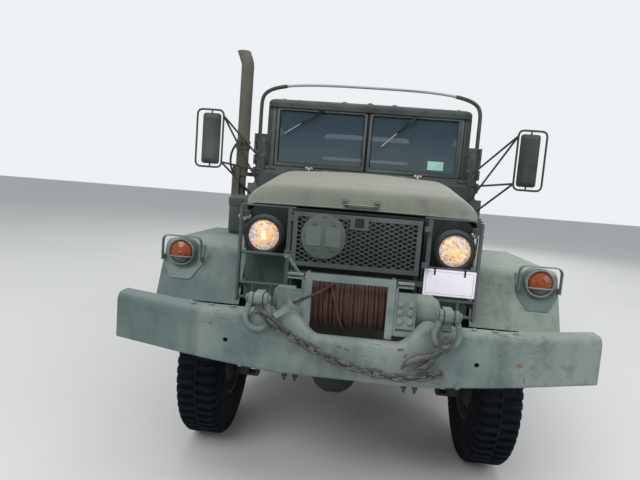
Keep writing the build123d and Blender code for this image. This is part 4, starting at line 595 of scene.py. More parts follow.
def colour_value(name, description, value):
    """A colour that the panel shows."""
    return bpy.props.FloatVectorProperty(name=name, description=description, default=value, size=3, min=0, max=1,
                                         subtype="COLOR")


def length_value(name, description, value):
    """A length that the panel shows."""
    return bpy.props.FloatProperty(name=name, description=description, default=value, min=0.0005, unit="LENGTH",
                                   precision=4)


class TruckColours(bpy.types.PropertyGroup):
    """Colours of the truck's finishes."""
    faded: colour_value("Faded green", "Bumper, fenders, winch and shackles", (0.1, 0.142, 0.137))
    # Lighter than the cab: partly faded paint, partly a painted reflection of the sky on the hood's top.
    hood: colour_value("Hood", "Matte hood and engine side panels", (0.138, 0.149, 0.121))
    cab: colour_value("Cab", "Hard top, doors, cowl and windshield frame", (0.036, 0.046, 0.043))
    screen: colour_value("Screen", "Mesh screen and brush guard", (0.066, 0.083, 0.08))
    chassis: colour_value("Chassis", "Frame, axles and springs", (0.03, 0.033, 0.027))
    wheels: colour_value("Wheels", "Discs and hubs", (0.04, 0.05, 0.043))
    bed: colour_value("Bed", "Cargo floor, walls and racks", (0.055, 0.067, 0.056))
    tyre: colour_value("Tyre", "Rubber", (0.004, 0.006, 0.009))
    rope: colour_value("Rope", "Rusty wire rope", (0.045, 0.024, 0.019))
    chain: colour_value("Chain", "Chain and hook", (0.06, 0.06, 0.062))
    seat: colour_value("Seat", "Canvas of the seats", (0.055, 0.06, 0.045))


class TruckSizes(bpy.types.PropertyGroup):
    """Sizes of the truck's small pieces."""
    bolt: length_value("Bolt", "Across half of a bolt head", 0.011)
    lug_depth: length_value("Lug depth", "How far the tread's lugs stand out", 0.02)
    link_bar: length_value("Chain bar", "Thickness of a chain link", 0.0145)
    rope: length_value("Rope", "Thickness of the winch rope", 0.0138)
    strand: length_value("Strand", "Width of the screen's strands", 0.0052)
    bumper_wall: length_value("Bumper wall", "Thickness of the pressed bumper", 0.008)


# Rusty patches on the bumper: X and Z of the middle, half length and half height
BUMPER_RUST = ((-0.403, 1.020, 0.020, 0.014), (-0.393, 0.983, 0.012, 0.008), (-0.045, 0.972, 0.016, 0.008),
               (-0.010, 0.966, 0.018, 0.010), (0.219, 0.990, 0.016, 0.012), (0.243, 0.962, 0.012, 0.018),
               (0.389, 0.884, 0.045, 0.006), (0.375, 0.856, 0.040, 0.006))
TYRES = [name + side for name in ("front_tyre", "fore_tyres", "aft_tyres") for side in ("_left", "_right")]
TYRES.append("spare_tyre")
# Which finish each CAD node wears
NODE_FINISH = {
    "bumper": "front_bumper",
    "faded": "tow_shackles winch",
    "fenders": "front_fenders",
    # The lamps' headlamp buckets are darkened partly by painted shade.
    "lamps": "lamp_housings",
    # The grille shell wears the painted recess shade.
    "dark": "grille_shell",
    # The hood's finish is partly a painted reflection of the sky.
    "hood": "hood engine_side_panels",
    # The hard top wears a darker copy of the cab paint: painted shade.
    "roof": "hard_top",
    # The windshield frame wears a lighter copy of the cab paint: painted light.
    "frame": "windshield_frame",
    "cab": "cowl cab_floor door_left door_right mirrors air_cleaner",
    "stack": "exhaust_stack",
    "screen": "brush_guard mesh_screen class_disc",
    "engine": "powertrain",
    "chassis": "chassis_frame front_suspension rear_suspension knuckle_left knuckle_right tie_rod pintle_hook",
    "wheels": " ".join(TYRES).replace("tyre", "rim"),
    "tyre": " ".join(TYRES),
    "bed": "bed_floor bed_walls tailgate side_boxes",
    "boards": "side_racks",
    "bow": "bow",
    # The cab's inside wears a darker copy of the cab paint: painted shade.
    "inside": "cab_interior",
    "seat": "seat_cushions",
    "glass": "cab_glass door_glass_left door_glass_right",
    "headlight": "headlight_lenses",
    "amber": "signal_lenses",
    "plate": "licence_plate",
    "wiper": "wipers",
    "rope": "winch_rope",
    "chain": "bumper_chain",
    "clevis": "rope_clevis",
}


class TRUCK_OT_finishes(bpy.types.Operator):
    """Makes every finish and puts it on the CAD nodes"""
    bl_idname = "truck.finishes"
    bl_label = "Finishes"

    def execute(self, context):
        faded, hood, cab, screen, chassis, wheels, bed, tyre, rope, chain, seat = [
            tuple(getattr(context.scene.truck_colours, name)) for name in TruckColours.__annotations__]
        pale = lambda colour, share: mixed(colour, (0.42, 0.45, 0.4), share)
        # Rust, scratches and dust from 0 to 1, then the range of roughness and the grain
        MATERIALS.update(
            faded=paint("faded green paint", faded, pale(faded, 0.35), 0.5, 0.9, 0.35),
            bumper=paint("scraped bumper paint", faded, pale(faded, 0.35), 0.5, 1.0, 0.35, marks=BUMPER_RUST),
            # The hood's pale colour and heavy dust on upward faces are partly faded paint and dust, partly a
            # painted reflection of the sky on its top.
            hood=paint("matte hood paint", hood, pale(hood, 0.15), 0.1, 0.2, 0.85, (0.5, 0.66)),
            cab=paint("olive cab paint", cab, pale(cab, 0.1), 0.04, 0.3, 0.12),
            # The roof is a darker copy of the cab paint: painted shade on the hard top, which is seen from below.
            roof=paint("dark roof paint", mixed(cab, (0, 0.004, 0.006), 0.4), pale(cab, 0.04), 0.1, 0.2, 0.1),
            # The windshield frame is a lighter copy of the cab paint: painted light.
            frame=paint("windshield frame paint", mixed(cab, (0.1, 0.115, 0.11), 0.3), pale(cab, 0.18), 0.1, 0.3,
                        0.1),
            stack=paint("olive stack paint", mixed(cab, (0.16, 0.15, 0.1), 0.42),
                        mixed(cab, (0.2, 0.19, 0.13), 0.5), 0.4, 0.1),
            screen=paint("screen paint", screen, pale(screen, 0.1), 0.08, 0.2, 0.05),
            engine=paint("engine bay paint", (0.006, 0.007, 0.007), (0.012, 0.013, 0.012), 0.1, 0, 0.2,
                         (0.85, 0.95)),
            fenders=paint("fender paint", faded, pale(faded, 0.25), 0.3, 0.9, 0.35, (0.6, 0.8), bleached=0.55),
            chassis=paint("dirty chassis paint", chassis, mixed(chassis, DUST, 0.2), 0.6, 0, 0.5, (0.7, 0.92)),
            wheels=paint("wheel paint", wheels, pale(wheels, 0.15), 0.3, 0.2, 0.4),
            bed=paint("bed paint", bed, pale(bed, 0.15), 0.35, 0.5, 0.3),
            boards=wood("painted boards", bed, (0.24, 0.2, 0.15)),
            bow=bow_finish("bow", (0.05, 0.056, 0.046), (0.36, 0.38, 0.39)),
            # The cab's inside is a darker copy of the cab paint: painted shade.
            inside=paint("inside paint", mixed(cab, BLACK, 0.3), pale(cab, 0.05), 0.1, 0.2, 0.1),
            tyre=rubber("tyre rubber", tyre, (0.009, 0.012, 0.016)),
            seat=cloth("seat canvas", seat, mixed(seat, (0.2, 0.2, 0.15), 0.25)),
            seat_piping=cloth("seat piping", mixed(seat, BLACK, 0.4), seat),
            glass=glass("cab glass", (0.034, 0.066, 0.094), 0.56, 0.4),
            headlight=lamp_glass("headlight lens", (0.62, 0.56, 0.53), (0.95, 0.48, 0.16), 0.42),
            amber=signal_glass("signal lens", (0.17, 0.026, 0.001), (0.25, 0.05, 0.003), (0.2, 0.008, 0.008)),
            # The headlamp buckets' dark colour, a darker copy of the cab paint, is partly painted shade of their
            # recess.
            lamps=lamp_paint("lamp paint", faded, mixed(cab, BLACK, 0.3)),
            mirror=mirror_glass("mirror glass"),
            dark_rim=paint("lamp ring paint", (0.026, 0.031, 0.029), (0.038, 0.045, 0.041), 0.05, 0.1, 0.1),
            sticker=paint("blank sticker", (0.34, 0.6, 0.52), (0.4, 0.66, 0.58), 0, 0, 0, (0.4, 0.5), 0),
            border=paint("plate border", (0.5, 0.3, 0.42), (0.5, 0.32, 0.44), 0, 0, 0, (0.4, 0.5), 0),
            seal=rubber("window seal", (0.012, 0.013, 0.013), (0.03, 0.03, 0.03)),
            disc=paint("class disc paint", (0.085, 0.1, 0.084), (0.112, 0.13, 0.108), 0.1, 0.2, 0.1),
            blank=paint("blank plate paint", (0.105, 0.135, 0.12), (0.125, 0.155, 0.138), 0, 0.2, 0.1),
            plate=paint("white plate", (0.93, 0.9, 0.98), (0.95, 0.93, 0.98), 0, 0, 0, (0.35, 0.5), 0.00002),
            wiper=rubber("wiper rubber", (0.015, 0.015, 0.015), (0.08, 0.08, 0.08)),
            rope=rusty("rusty rope", rope, mixed(rope, (0.13, 0.06, 0.045), 0.35)),
            chain=rusty("worn chain", chain, mixed(chain, (0.19, 0.18, 0.185), 0.5), 18, 0.5, 0.4),
            silver=rusty("galvanised steel", (0.3, 0.31, 0.31), (0.42, 0.43, 0.43), 22, 0.45, 0.6),
            clevis=rusty("old clevis steel", (0.17, 0.19, 0.19), (0.27, 0.3, 0.295), 20, 0.6, 0.3),
            # Painted shade: the grille shell is near black above 1.285 m to stand for the shade in its recesses,
            # and lighter below that height.
            dark=paint("dark recess paint", (0.012, 0.018, 0.019), (0.018, 0.026, 0.027), 0.05, 0, 0.05,
                       below=(1.285, (0.052, 0.076, 0.072))),
        )
        for finish, nodes in NODE_FINISH.items():
            for name in nodes.split():
                slots = frame["nodes"][name].data.materials
                slots.clear()
                slots.append(MATERIALS[finish])
        return {"FINISHED"}


# Front bumper

BUMPER_Y, BUMPER_END_Y, BUMPER_X, BUMPER_KINK = -1.114, -0.960, 1.118, 0.690
BUMPER_LOW, BUMPER_HIGH, BUMPER_BELLY, BUMPER_BELLY_X = 0.865, 1.090, 0.826, 0.330
# The dip for the winch: X where each side starts and ends, height of its floor and of the shoulders beside it
DIP_LEFT, DIP_RIGHT, DIP_LOW, DIP_SHOULDER = (-0.265, -0.135), (0.200, 0.335), 1.010, 1.104
BUMPER_HOLES_X, BUMPER_HOLES_Z = (-0.545, 0.545), 0.955


def bumper_front(x):
    """Y of the bumper's face: flat in the middle, swept back past the kink with a softened corner."""
    slope, soft = (BUMPER_END_Y - BUMPER_Y) / (BUMPER_X - BUMPER_KINK), 0.02
    return BUMPER_Y + slope * soft * np.logaddexp(0, (np.abs(x) - BUMPER_KINK) / soft)


def bumper_top(x):
    """Z of the top edge: level, lifted beside the dip, eased down into it, and rounded off at the ends."""
    (a, b), (c, d), corner = DIP_LEFT, DIP_RIGHT, 0.012
    lift = BUMPER_HIGH + (DIP_SHOULDER - BUMPER_HIGH) * np.where(
        x < 0, ease((x + 0.33) / 0.07), 1 - ease((x - d - 0.002) / 0.05))
    inside = ease((x - a) / (b - a)) * (1 - ease((x - c) / (d - c)))
    end = np.clip(np.abs(x) - (BUMPER_X - corner), 0, corner)
    return lift + (DIP_LOW - lift) * inside - corner + np.sqrt(corner ** 2 - end ** 2)


def bumper_bottom(x):
    """Z of the bottom edge: straight towards the ends, sagging to the belly in the middle."""
    share = np.clip((np.abs(x) - BUMPER_BELLY_X) / (BUMPER_KINK - BUMPER_BELLY_X), 0, 1)
    return BUMPER_BELLY + (BUMPER_LOW - BUMPER_BELLY) * share


class TRUCK_OT_bumper(bpy.types.Operator):
    """Pressed bumper: at each X a profile of lip, lower bend, face, upper bend and flange"""
    bl_idname = "truck.bumper"
    bl_label = "Front bumper"

    def execute(self, context):
        half = np.concatenate([np.linspace(0, BUMPER_X - 0.013, 110), np.linspace(BUMPER_X - 0.012, BUMPER_X, 7)])
        x = np.concatenate([-half[:0:-1], half])
        low, high, front = bumper_bottom(x), bumper_top(x), bumper_front(x)
        bends, face = np.linspace(0, np.pi / 2, 7), np.linspace(0, 1, 9)[1:-1]
        small, big, lip = 0.014, 0.034, 0.05
        dipped = ease((x - DIP_LEFT[0]) / 0.1) * (1 - ease((x - DIP_RIGHT[1] + 0.1) / 0.1))
        flange = 0.088 - 0.040 * dipped
        rows = [(lip, low), (lip - 0.02, low)]
        rows += [(small - small * np.sin(a), low + small - small * np.cos(a)) for a in bends]
        rows += [(0, low + small + (high - big - low - small) * share) for share in face]
        rows += [(big - big * np.cos(a), high - big + big * np.sin(a)) for a in bends]
        rows += [((big + flange) / 2, high), (flange, high)]
        shape = surface(np.stack([np.stack([x, front + depth, rise], -1) for depth, rise in rows]))
        plain = placed("plain_bumper", mesh_of("pressed_bumper", shape, 0))
        outwards = plain.data.polygons[len(plain.data.polygons) // 2].normal.y < 0
        settle(plain.modifiers.new("wall", "SOLIDIFY"), thickness=context.scene.truck_sizes.bumper_wall,
               offset=-1 if outwards else 1)
        pins = join(*[lathe([(-0.05, 0), (-0.05, 0.011), (0.05, 0.011), (0.05, 0)], 24, 1,
                            (x, BUMPER_Y, BUMPER_HOLES_Z)) for x in BUMPER_HOLES_X])
        pins = placed("pins", mesh_of("pins", pins))
        settle(plain.modifiers.new("holes", "BOOLEAN"), object=pins, solver="EXACT")
        mesh = applied(plain)
        for helper in (plain, pins):
            bpy.data.objects.remove(helper)
        finish_piece("pressed_bumper", mesh, "bumper", ["front_bumper"], 40)
        return {"FINISHED"}


# Tyres

LUGS = 54
TYRE_HALF = 0.1275


def turns_about_x(angles):
    """Turns about X by each angle."""
    turns = np.zeros((len(angles), 3, 3))
    turns[:, 0, 0] = 1
    turns[:, 1, 1] = turns[:, 2, 2] = np.cos(angles)
    turns[:, 1, 2], turns[:, 2, 1] = -np.sin(angles), np.sin(angles)
    return turns


def tyre_shape(flip, lug_depth):
    """Tyre about X: a turned carcass, a zigzag rib, and lugs set round both shoulders, half a step apart."""
    outer, shoulder = TYRE_RADIUS, 0.098
    base = outer - lug_depth
    side = [(0.100, 0.262), (0.112, 0.268), (0.120, 0.300), (TYRE_HALF, 0.345), (TYRE_HALF, 0.352),
            (0.1245, 0.355), (0.1255, 0.40), (0.122, 0.44), (0.114, base - 0.02), (shoulder - 0.012, base)]
    carcass = lathe(side + [(0, base + 0.002)] + [(-x, r) for x, r in reversed(side)], 72, 0, wrap=True)
    # One lug, from the middle rib over the shoulder and down the side: X, radius, half width, how far its foot
    # is sunk, and how far its foot is drawn in
    rows = np.array([(0.012, base - 0.004, 0.013, 0, 0), (0.012, outer - 0.002, 0.012, 1, 0),
                     (0.055, outer, 0.0125, 1, 0), (shoulder - 0.006, outer - 0.002, 0.014, 1, 0),
                     (0.112, outer - 0.018, 0.0155, 1, 0.008), (0.1265, outer - 0.075, 0.012, 0.35, 0.012),
                     (0.112, outer - 0.085, 0.011, 0, 0)])
    wide, foot = np.array([(-1.25, 1), (-1.0, 0), (1.0, 0), (1.25, 1)]).T
    lug = np.stack([rows[:, :1] - rows[:, 4:] * foot, rows[:, 2:3] * wide,
                    rows[:, 1:2] - rows[:, 3:4] * (lug_depth + 0.004) * foot], -1)
    ends = [np.repeat(row.mean(0)[None, None], 4, 1) for row in (lug[0], lug[-1])]
    lug = surface(np.concatenate([ends[0], lug, ends[1]]), False, True)
    angle, still = np.arange(LUGS) * 2 * np.pi / LUGS, np.zeros((LUGS, 3))
    right = repeat(lug, turns_about_x(angle), still)
    left = repeat(mirrored(lug), turns_about_x(angle + np.pi / LUGS), still)
    steps = np.arange(LUGS * 2)
    around, sway = steps * np.pi / LUGS, 0.006 * np.where(steps % 2, 1, -1)
    rib = [np.stack([sway + offset, radius * np.cos(around), radius * np.sin(around)], -1) for offset, radius in
           ((-0.012, base - 0.004), (-0.009, outer - 0.004), (0.009, outer - 0.004), (0.012, base - 0.004))]
    shape = join(carcass, right, left, surface(np.array(rib), True, True))
    return mirrored(shape) if flip else shape


class TRUCK_OT_tyres(bpy.types.Operator):
    """Tyres with a lugged tread, standing for the plain ones"""
    bl_idname = "truck.tyres"
    bl_label = "Tyres"

    def execute(self, context):
        for name in TYRES:
            half = np.ptp(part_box(name), axis=0)[0] / 2
            centre = middle(name) - AXLE_Y * Y
            spread = (half - TYRE_HALF) * X
            places = [centre - spread, centre + spread] if half > 0.2 else [centre]
            tyre = tyre_shape(centre[0] < 0, context.scene.truck_sizes.lug_depth)
            add("treaded_" + name, [moved(tyre, place) for place in places], "tyre", [name], 30,
                body=BODY_OF[name])
        return {"FINISHED"}


# Chain, shackles and winch rope

CHAIN_Y, CHAIN_PITCH = -1.149, 0.049
CHAIN_ROUTE = [(-0.392, 1.104), (-0.379, 1.098), (-0.330, 1.072), (-0.273, 1.023), (-0.218, 0.994), (-0.169, 0.972),
               (-0.120, 0.950), (-0.071, 0.928), (-0.012, 0.912), (0.048, 0.899), (0.107, 0.890), (0.160, 0.882),
               (0.220, 0.876), (0.275, 0.880), (0.327, 0.892), (0.392, 0.915)]
# Hook: its two prongs from the eye, as (X, Z, half thickness)
HOOK_PRONGS = (((0.362, 0.996, 0.010), (0.345, 0.984, 0.014), (0.310, 0.976, 0.0175), (0.270, 0.962, 0.0165),
                (0.243, 0.942, 0.0125), (0.226, 0.918, 0.005)),
               ((0.357, 0.984, 0.012), (0.346, 0.958, 0.0165), (0.326, 0.938, 0.015), (0.300, 0.928, 0.011),
                (0.282, 0.918, 0.004)))
# The hook's eye and single links: length, width, bar, middle, lean from the X axis and turn about their length
SINGLE_LINKS = ((0.044, 0.043, 0.011, (0.364, -1.149, 0.998), 0, 0),
                (0.056, 0.036, 0.010, (0.374, -1.147, 1.008), 0.55, 0.2),
                (0.082, 0.062, 0.0145, (0.402, -1.147, 1.040), 1.1, 0.1),
                (0.070, 0.044, 0.012, (-0.338, -1.147, 1.058), -0.75, 0.15))


def link(length, width, bar):
    """A chain link in the XY plane: a bar round two half circles joined by straight runs."""
    radius, run = (width - bar) / 2, (length - width) / 2
    angle = np.linspace(-np.pi / 2, np.pi / 2, 6)
    arc = np.stack([run + radius * np.cos(angle), radius * np.sin(angle), 0 * angle], -1)
    return tube(np.vstack([arc, arc * (-1, -1, 1)]), bar / 2, 8, True)


class TRUCK_OT_chain(bpy.types.Operator):
    """Chain of round-bar links, each turned a quarter from its neighbours and lying on the bumper's face"""
    bl_idname = "truck.chain"
    bl_label = "Bumper chain"

    def execute(self, context):
        points = evenly(rounded(in_plane(CHAIN_ROUTE, CHAIN_Y), 0.03), CHAIN_PITCH)
        along, number = unit(np.diff(points, axis=0)), np.arange(len(points) - 1)
        lean = (np.radians(np.where(number % 2, 52, -38)) + 0.22 * np.sin(number * 2.1))[:, None]
        flat = np.cos(lean) * unit(np.cross(along, Y)) + np.sin(lean) * Y
        pieces = [repeat(link(0.076, 0.044, context.scene.truck_sizes.link_bar),
                         np.stack([along, flat, np.cross(along, flat)], -1), (points[1:] + points[:-1]) / 2)]
        for prong in map(np.array, HOOK_PRONGS):
            path = evenly(rounded(in_plane(prong[:, :2], CHAIN_Y), 0.02), 0.004)
            thick = np.interp(np.linspace(0, 1, len(path)), np.linspace(0, 1, len(prong)), prong[:, 2])
            pieces.append(tube(path, thick, 12, about=Y))
        for length, width, thick, place, lean, roll in SINGLE_LINKS:
            turn = Matrix.Rotation(-lean, 3, "Y") @ Matrix.Rotation(math.pi / 2 + roll, 3, "X")
            pieces.append(repeat(link(length, width, thick), [np.array(turn)], [place]))
        add("round_link_chain", pieces, "chain", ["bumper_chain"], 60)
        return {"FINISHED"}


class TRUCK_OT_shackles(bpy.types.Operator):
    """Forged bow shackles: a round bow with eyes on a pin, hung from a rounded lug behind the bumper's edge"""
    bl_idname = "truck.shackles"
    bl_label = "Tow shackles"

    def execute(self, context):
        y, z, jaw, wide, pin = -1.130, 1.158, 0.033, 0.054, (0, -1.130, 1.158)
        turn = np.linspace(np.pi, 2 * np.pi, 25)
        arc = np.stack([wide * np.cos(turn), 1.078 + (wide + 0.001) * np.sin(turn)], -1)
        bow = in_plane(np.vstack([(-jaw, z), arc, (jaw, z)]), y)
        shapes = [tube(evenly(rounded(bow, 0.03), 0.006), 0.013, 16, about=Y)]
        eye = [(-0.010, 0.008), (-0.010, 0.022), (-0.006, 0.0265), (0.006, 0.0265), (0.010, 0.022), (0.010, 0.008)]
        shapes += [lathe([(x + place, radius) for place, radius in eye], 28, 0, pin, True) for x in (-jaw, jaw)]
        shapes.append(lathe([(-0.053, 0), (-0.053, 0.018), (-0.045, 0.020), (-0.043, 0.0115), (0.043, 0.0115),
                             (0.044, 0.0175), (0.053, 0.016), (0.053, 0)], 24, 0, pin))
        nose = [(y + 0.022 * np.cos(a), z + 0.024 * np.sin(a)) for a in np.linspace(np.pi * 1.5, np.pi * 0.5, 13)]
        back = [(-1.054, 1.182), (-1.054, BUMPER_HIGH), (-1.1135, BUMPER_HIGH), (-1.1135, 1.124)]
        shapes.append(plate(nose + back, -0.019, 0.019, 0))
        add("bow_shackles", [moved(shape, x * X) for x in (-0.405, 0.405) for shape in shapes], "faded",
            ["tow_shackles"], 40, 0.0015)
        return {"FINISHED"}


class TRUCK_OT_rope(bpy.types.Operator):
    """Wire rope: a helix on the drum with a wandering pitch, one stray turn over it and a tight tail"""
    bl_idname = "truck.rope"
    bl_label = "Winch rope"

    def execute(self, context):
        thick, centre = context.scene.truck_sizes.rope, (0, -0.930, 1.125)
        low, high, lay = -0.2045, 0.1675, 0.112

        def wound(x, radius, angle):
            """Rope wound about the drum, its places along X given with its radius and angle."""
            return tube(centre + np.stack([x, radius * np.cos(angle), radius * np.sin(angle)], -1), thick / 2, 8,
                        about=X)

        turns = int((high - low - thick) / (thick * 1.1))
        t = np.linspace(0, 1, turns * 36)
        wander = 0.0025 * np.sin(t * turns * 1.9) + 0.002 * np.sin(t * turns * 4.3)
        layer = wound(low + thick / 2 + t * (high - low - thick) + wander,
                      lay - thick / 2 - 0.0015 + 0.0015 * np.sin(t * turns * 2.7), t * turns * 2 * np.pi)
        core = lathe([(low, 0.046), (low, lay - thick), (high, lay - thick), (high, 0.046)], 40, 0, centre, True)
        stray = wound(np.linspace(-0.118, -0.022, 40), lay + 0.005, np.linspace(*np.radians([100, 262]), 40))
        tail = rounded([(-0.090, -0.990, 1.226), (-0.125, -1.030, 1.206), (-0.172, -1.080, 1.186),
                        (-0.254, -1.130, 1.153)], 0.03)
        tail = tube(evenly(tail, 0.008), thick / 2, 8)
        add("wound_rope", [layer, core, stray, tail], "rope", ["winch_rope"], 60)
        return {"FINISHED"}


class TRUCK_OT_screen(bpy.types.Operator):
    """Expanded metal: rows of strands, z = row ± a triangle wave of x, each meeting the next at its tips"""
    bl_idname = "truck.screen"
    bl_label = "Mesh screen"

    def execute(self, context):
        period, rise, edge, y = 0.045, 0.0055, 0.022, -0.800
        x0, x1, z0, z1 = -0.322, 0.302, 1.265, 1.530
        (a, b), (c, d) = inset([(x0, x1), (z0, z1)], edge / 2)
        x = np.linspace(a, b, int((b - a) / (period / 8)) + 1)
        wave = 2 * np.abs(2 * ((x / period) % 1) - 1) - 1
        wave = np.sign(wave) * (1 - (1 - np.abs(wave)) ** 1.3)
        across, deep = np.array([(-0.5, 0), (-0.35, -0.45), (0.35, -0.45), (0.5, 0), (0.35, 0.4), (-0.35, 0.4)]).T
        strand, pieces = context.scene.truck_sizes.strand * across, []
        for number, row in enumerate(np.arange(c, d, 2 * rise)):
            line = np.clip(row + rise * (1 if number % 2 else -1) * wave, c, d)
            points = np.stack(np.broadcast_arrays(x[:, None], y + 0.003 + 0.006 * deep, line[:, None] + strand),
                              -1)
            ends = [np.repeat(ring.mean(0)[None, None], 6, 1) for ring in (points[0], points[-1])]
            pieces.append(surface(np.concatenate([ends[0], points, ends[1]]), False, True))
        pieces += [box((x0, y - 0.002, z), (x1, y + 0.006, z + edge)) for z in (z0, z1 - edge)]
        pieces += [box((x, y - 0.002, z0 + edge), (x + edge, y + 0.006, z1 - edge)) for x in (x0, x1 - edge)]
        pieces += [box((x, y + 0.006, z), (x + 0.03, GUARD_Y - 0.017, z + 0.024))
                   for x in (-0.346, 0.316) for z in (1.304, 1.48)]
        pieces += [box((a, y - 0.006, c), (b, y - 0.002, d)) for a, b, c, d in
                   ((-0.045, 0.045, 1.462, 1.472), (-0.045, -0.022, 1.472, 1.53), (0.022, 0.045, 1.472, 1.53),
                    (-0.022, 0.022, 1.518, 1.53))]
        add("expanded_metal_screen", pieces, "screen", ["mesh_screen"], 50)
        # A dark sheet in the lock plate's opening: painted shade of the recess behind it.
        add("screen_lock_recess", box((-0.024, y - 0.003, 1.470), (0.024, y + 0.001, 1.520)), "dark")
        # Class disc with two blank plates, four studs beside them and four at its edge
        disc_x, disc_z, radius, face = -0.170, 1.415, 0.110, y - 0.0045
        disc = lathe([(face, 0), (face, radius - 0.004), (y - 0.003, radius), (y - 0.0005, radius),
                      (y - 0.0005, 0)],
                     64, 1, (disc_x, 0, disc_z))
        plates = [box((disc_x + k - 0.037, y - 0.007, disc_z - 0.047), (disc_x + k + 0.037, face, disc_z + 0.049))
                  for k in (-0.047, 0.047)]
        spots = [(disc_x + a, face, disc_z + b) for a, b in
                 ((-0.047, 0.064), (0.047, 0.064), (-0.047, -0.062), (0.047, -0.062), (0.1, 0), (-0.1, 0), (0, 0.1),
                  (0, -0.1))]
        add("blank_class_disc", [disc, bolts_on(spots, -Y, 0.0065, 0.006)], "disc",
            ["class_disc"], 40)
        add("blank_disc_plates", plates, "blank", (), 40, 0.001)
        return {"FINISHED"}


class TRUCK_OT_bow(bpy.types.Operator):
    """Hoop over the bed: |x / half|³ + |rise / height|⁶·⁵ = 1 above two straight legs"""
    bl_idname = "truck.bow"
    bl_label = "Bow"

    def execute(self, context):
        half, start, height, foot = 1.130, 2.320, 0.394, 2.170
        angle = np.linspace(0, np.pi, 400)
        hoop = np.stack([half * np.sign(np.cos(angle)) * np.abs(np.cos(angle)) ** (2 / 3),
                         start + height * np.sin(angle) ** (2 / 6.5)], -1)
        path = evenly(in_plane(np.vstack([(half, foot), hoop, (-half, foot)]), BOW_Y), 0.02)
        thick = 0.020 - 0.0065 * ease((BOW_MIDDLE_X + 0.004 - np.abs(path[:, 0])) / 0.008)
        add("hoop", tube(path, thick, 12, about=Y, flat=1.05), "bow", ["bow"], 60)
        return {"FINISHED"}


# Hood sections: place along it, height of the shoulder, height and inset of the top's edge, crown, cut at the
# bends, foot
HOOD = np.array([(-0.618, 1.532, 1.554, 0.040, 0.006, 0.014, 1.516),
                 (-0.592, 1.566, 1.622, 0.074, 0.008, 0.030, 1.510),
                 (-0.528, 1.586, 1.670, 0.118, 0.012, 0.040, 1.496),
                 (-0.388, 1.600, 1.702, 0.146, 0.017, 0.046, 1.452),
                 (0.742, 1.648, 1.745, 0.174, 0.024, 0.050, 1.430)])


def hood_rows(places, wall):
    """The hood's outline at places along it, lying wall inside it: every size of a section eased between them."""
    rows = []
    sizes = np.stack([smooth(HOOD[:, 0], HOOD[:, k], places) for k in range(1, 7)], -1)
    for y, (shoulder, edge, inset_x, crown, cut, foot) in zip(places, sizes):
        half = 0.604 + (y - HOOD[0, 0]) * 0.1 - wall
        high, top = shoulder - wall / 2, edge - wall
        corners = [(half, foot), (half, high), (half - inset_x, top), (0, top + crown), (inset_x - half, top),
                   (-half, high), (-half, foot)]
        rows.append(rounded(in_plane(corners, y), [cut, cut, 0.3, cut, cut], 9))
    return np.stack(rows)


class TRUCK_OT_hood(bpy.types.Operator):
    """The hood's pressed skin, its handle, its hinges and the hold-downs at its front corners"""
    bl_idname = "truck.hood"
    bl_label = "Hood"

    def execute(self, context):
        nose = HOOD[0, 0] + 0.03 * (np.linspace(0, 1, 10) ** 1.6)
        places = np.concatenate([nose, np.linspace(-0.58, -0.36, 16), np.linspace(-0.33, 0.742, 24)])
        outer, inner = hood_rows(places, 0.0), hood_rows(places[::-1], 0.008)
        lip = (outer[:1] + inner[-1:]) / 2 - (0, 0.003, 0)
        heel = (outer[-1:] + inner[:1]) / 2
        skin = np.concatenate([lip, outer, heel, inner])
        heel_row = len(outer) + 1
        back = np.concatenate([[0], np.arange(len(skin) - 1, heel_row, -1), [heel_row]])
        feet = [surface(np.stack([skin[:heel_row + 1, side], skin[back, side]], 1)) for side in (0, -1)]
        grip = rounded([(-0.080, -0.600, 1.576), (-0.080, -0.633, 1.576), (0.080, -0.633, 1.576),
                        (0.080, -0.600, 1.576)], 0.012)
        shapes = [surface(skin, True, False), *feet, tube(grip, 0.011, 12, flat=0.3)]
        for x in (-0.320, 0.280):
            shapes.append(lathe([(x, 0), (x, 0.008), (x + 0.04, 0.008), (x + 0.04, 0)], 16, 0, (0, 0.750, 1.780)))
            shapes.append(box((x, 0.730, 1.745), (x + 0.04, 0.750, 1.780)))
        add("hood_skin", shapes, "hood", ["hood"], 40, body="hood")
        rods, nuts, y = [], [], -0.640
        for x in (-0.600, 0.600):
            rods += [lathe([(1.492, 0), (1.492, 0.0105), (1.546, 0.0105), (1.549, 0.007), (1.549, 0)], 14, 2,
                           (x, y, 0)),
                     tube([(x, y, 1.43), (x, y, 1.50)], 0.0045, 8, about=Y),
                     tube(rounded([(x, y, 1.43), (x, y, 1.40), (x, y + 0.04, 1.385)], 0.02), 0.0045, 8, about=X),
                     capsule((x * 0.985, y - 0.002, 1.556), (x * 1.012, y + 0.006, 1.551), 0.008, 10)]
            nuts.append(wing_nut((x, y - 0.002, 1.468), 0.033))
        add("hood_hold_downs", rods, "cab")
        add("hold_down_wing_nuts", nuts, "silver")
        return {"FINISHED"}


# Windshield, mirrors, lamps and bolts

# Panes: X of the glass and of the frame round it
PANES = (((-0.702, -0.026), (-0.724, -0.008)), ((0.032, 0.718), (0.012, 0.740)))
PANE_Z, PANE_FRAME_Z = (1.830, 2.244), (1.806, 2.258)
# Strips of seal round and between the frames: X and Z pairs
SEAL_STRIPS = ((-0.008, 0.012, 1.802, 2.260), (-0.733, -0.724, 1.802, 2.260), (0.740, 0.749, 1.802, 2.260),
               (-0.733, 0.749, 2.256, 2.262), (-0.733, 0.749, 1.800, 1.807))
# Pivot and tip of each wiper, X and Z
WIPERS = ((-0.365, 2.252, -0.656, 2.060), (0.371, 2.252, 0.118, 2.012))
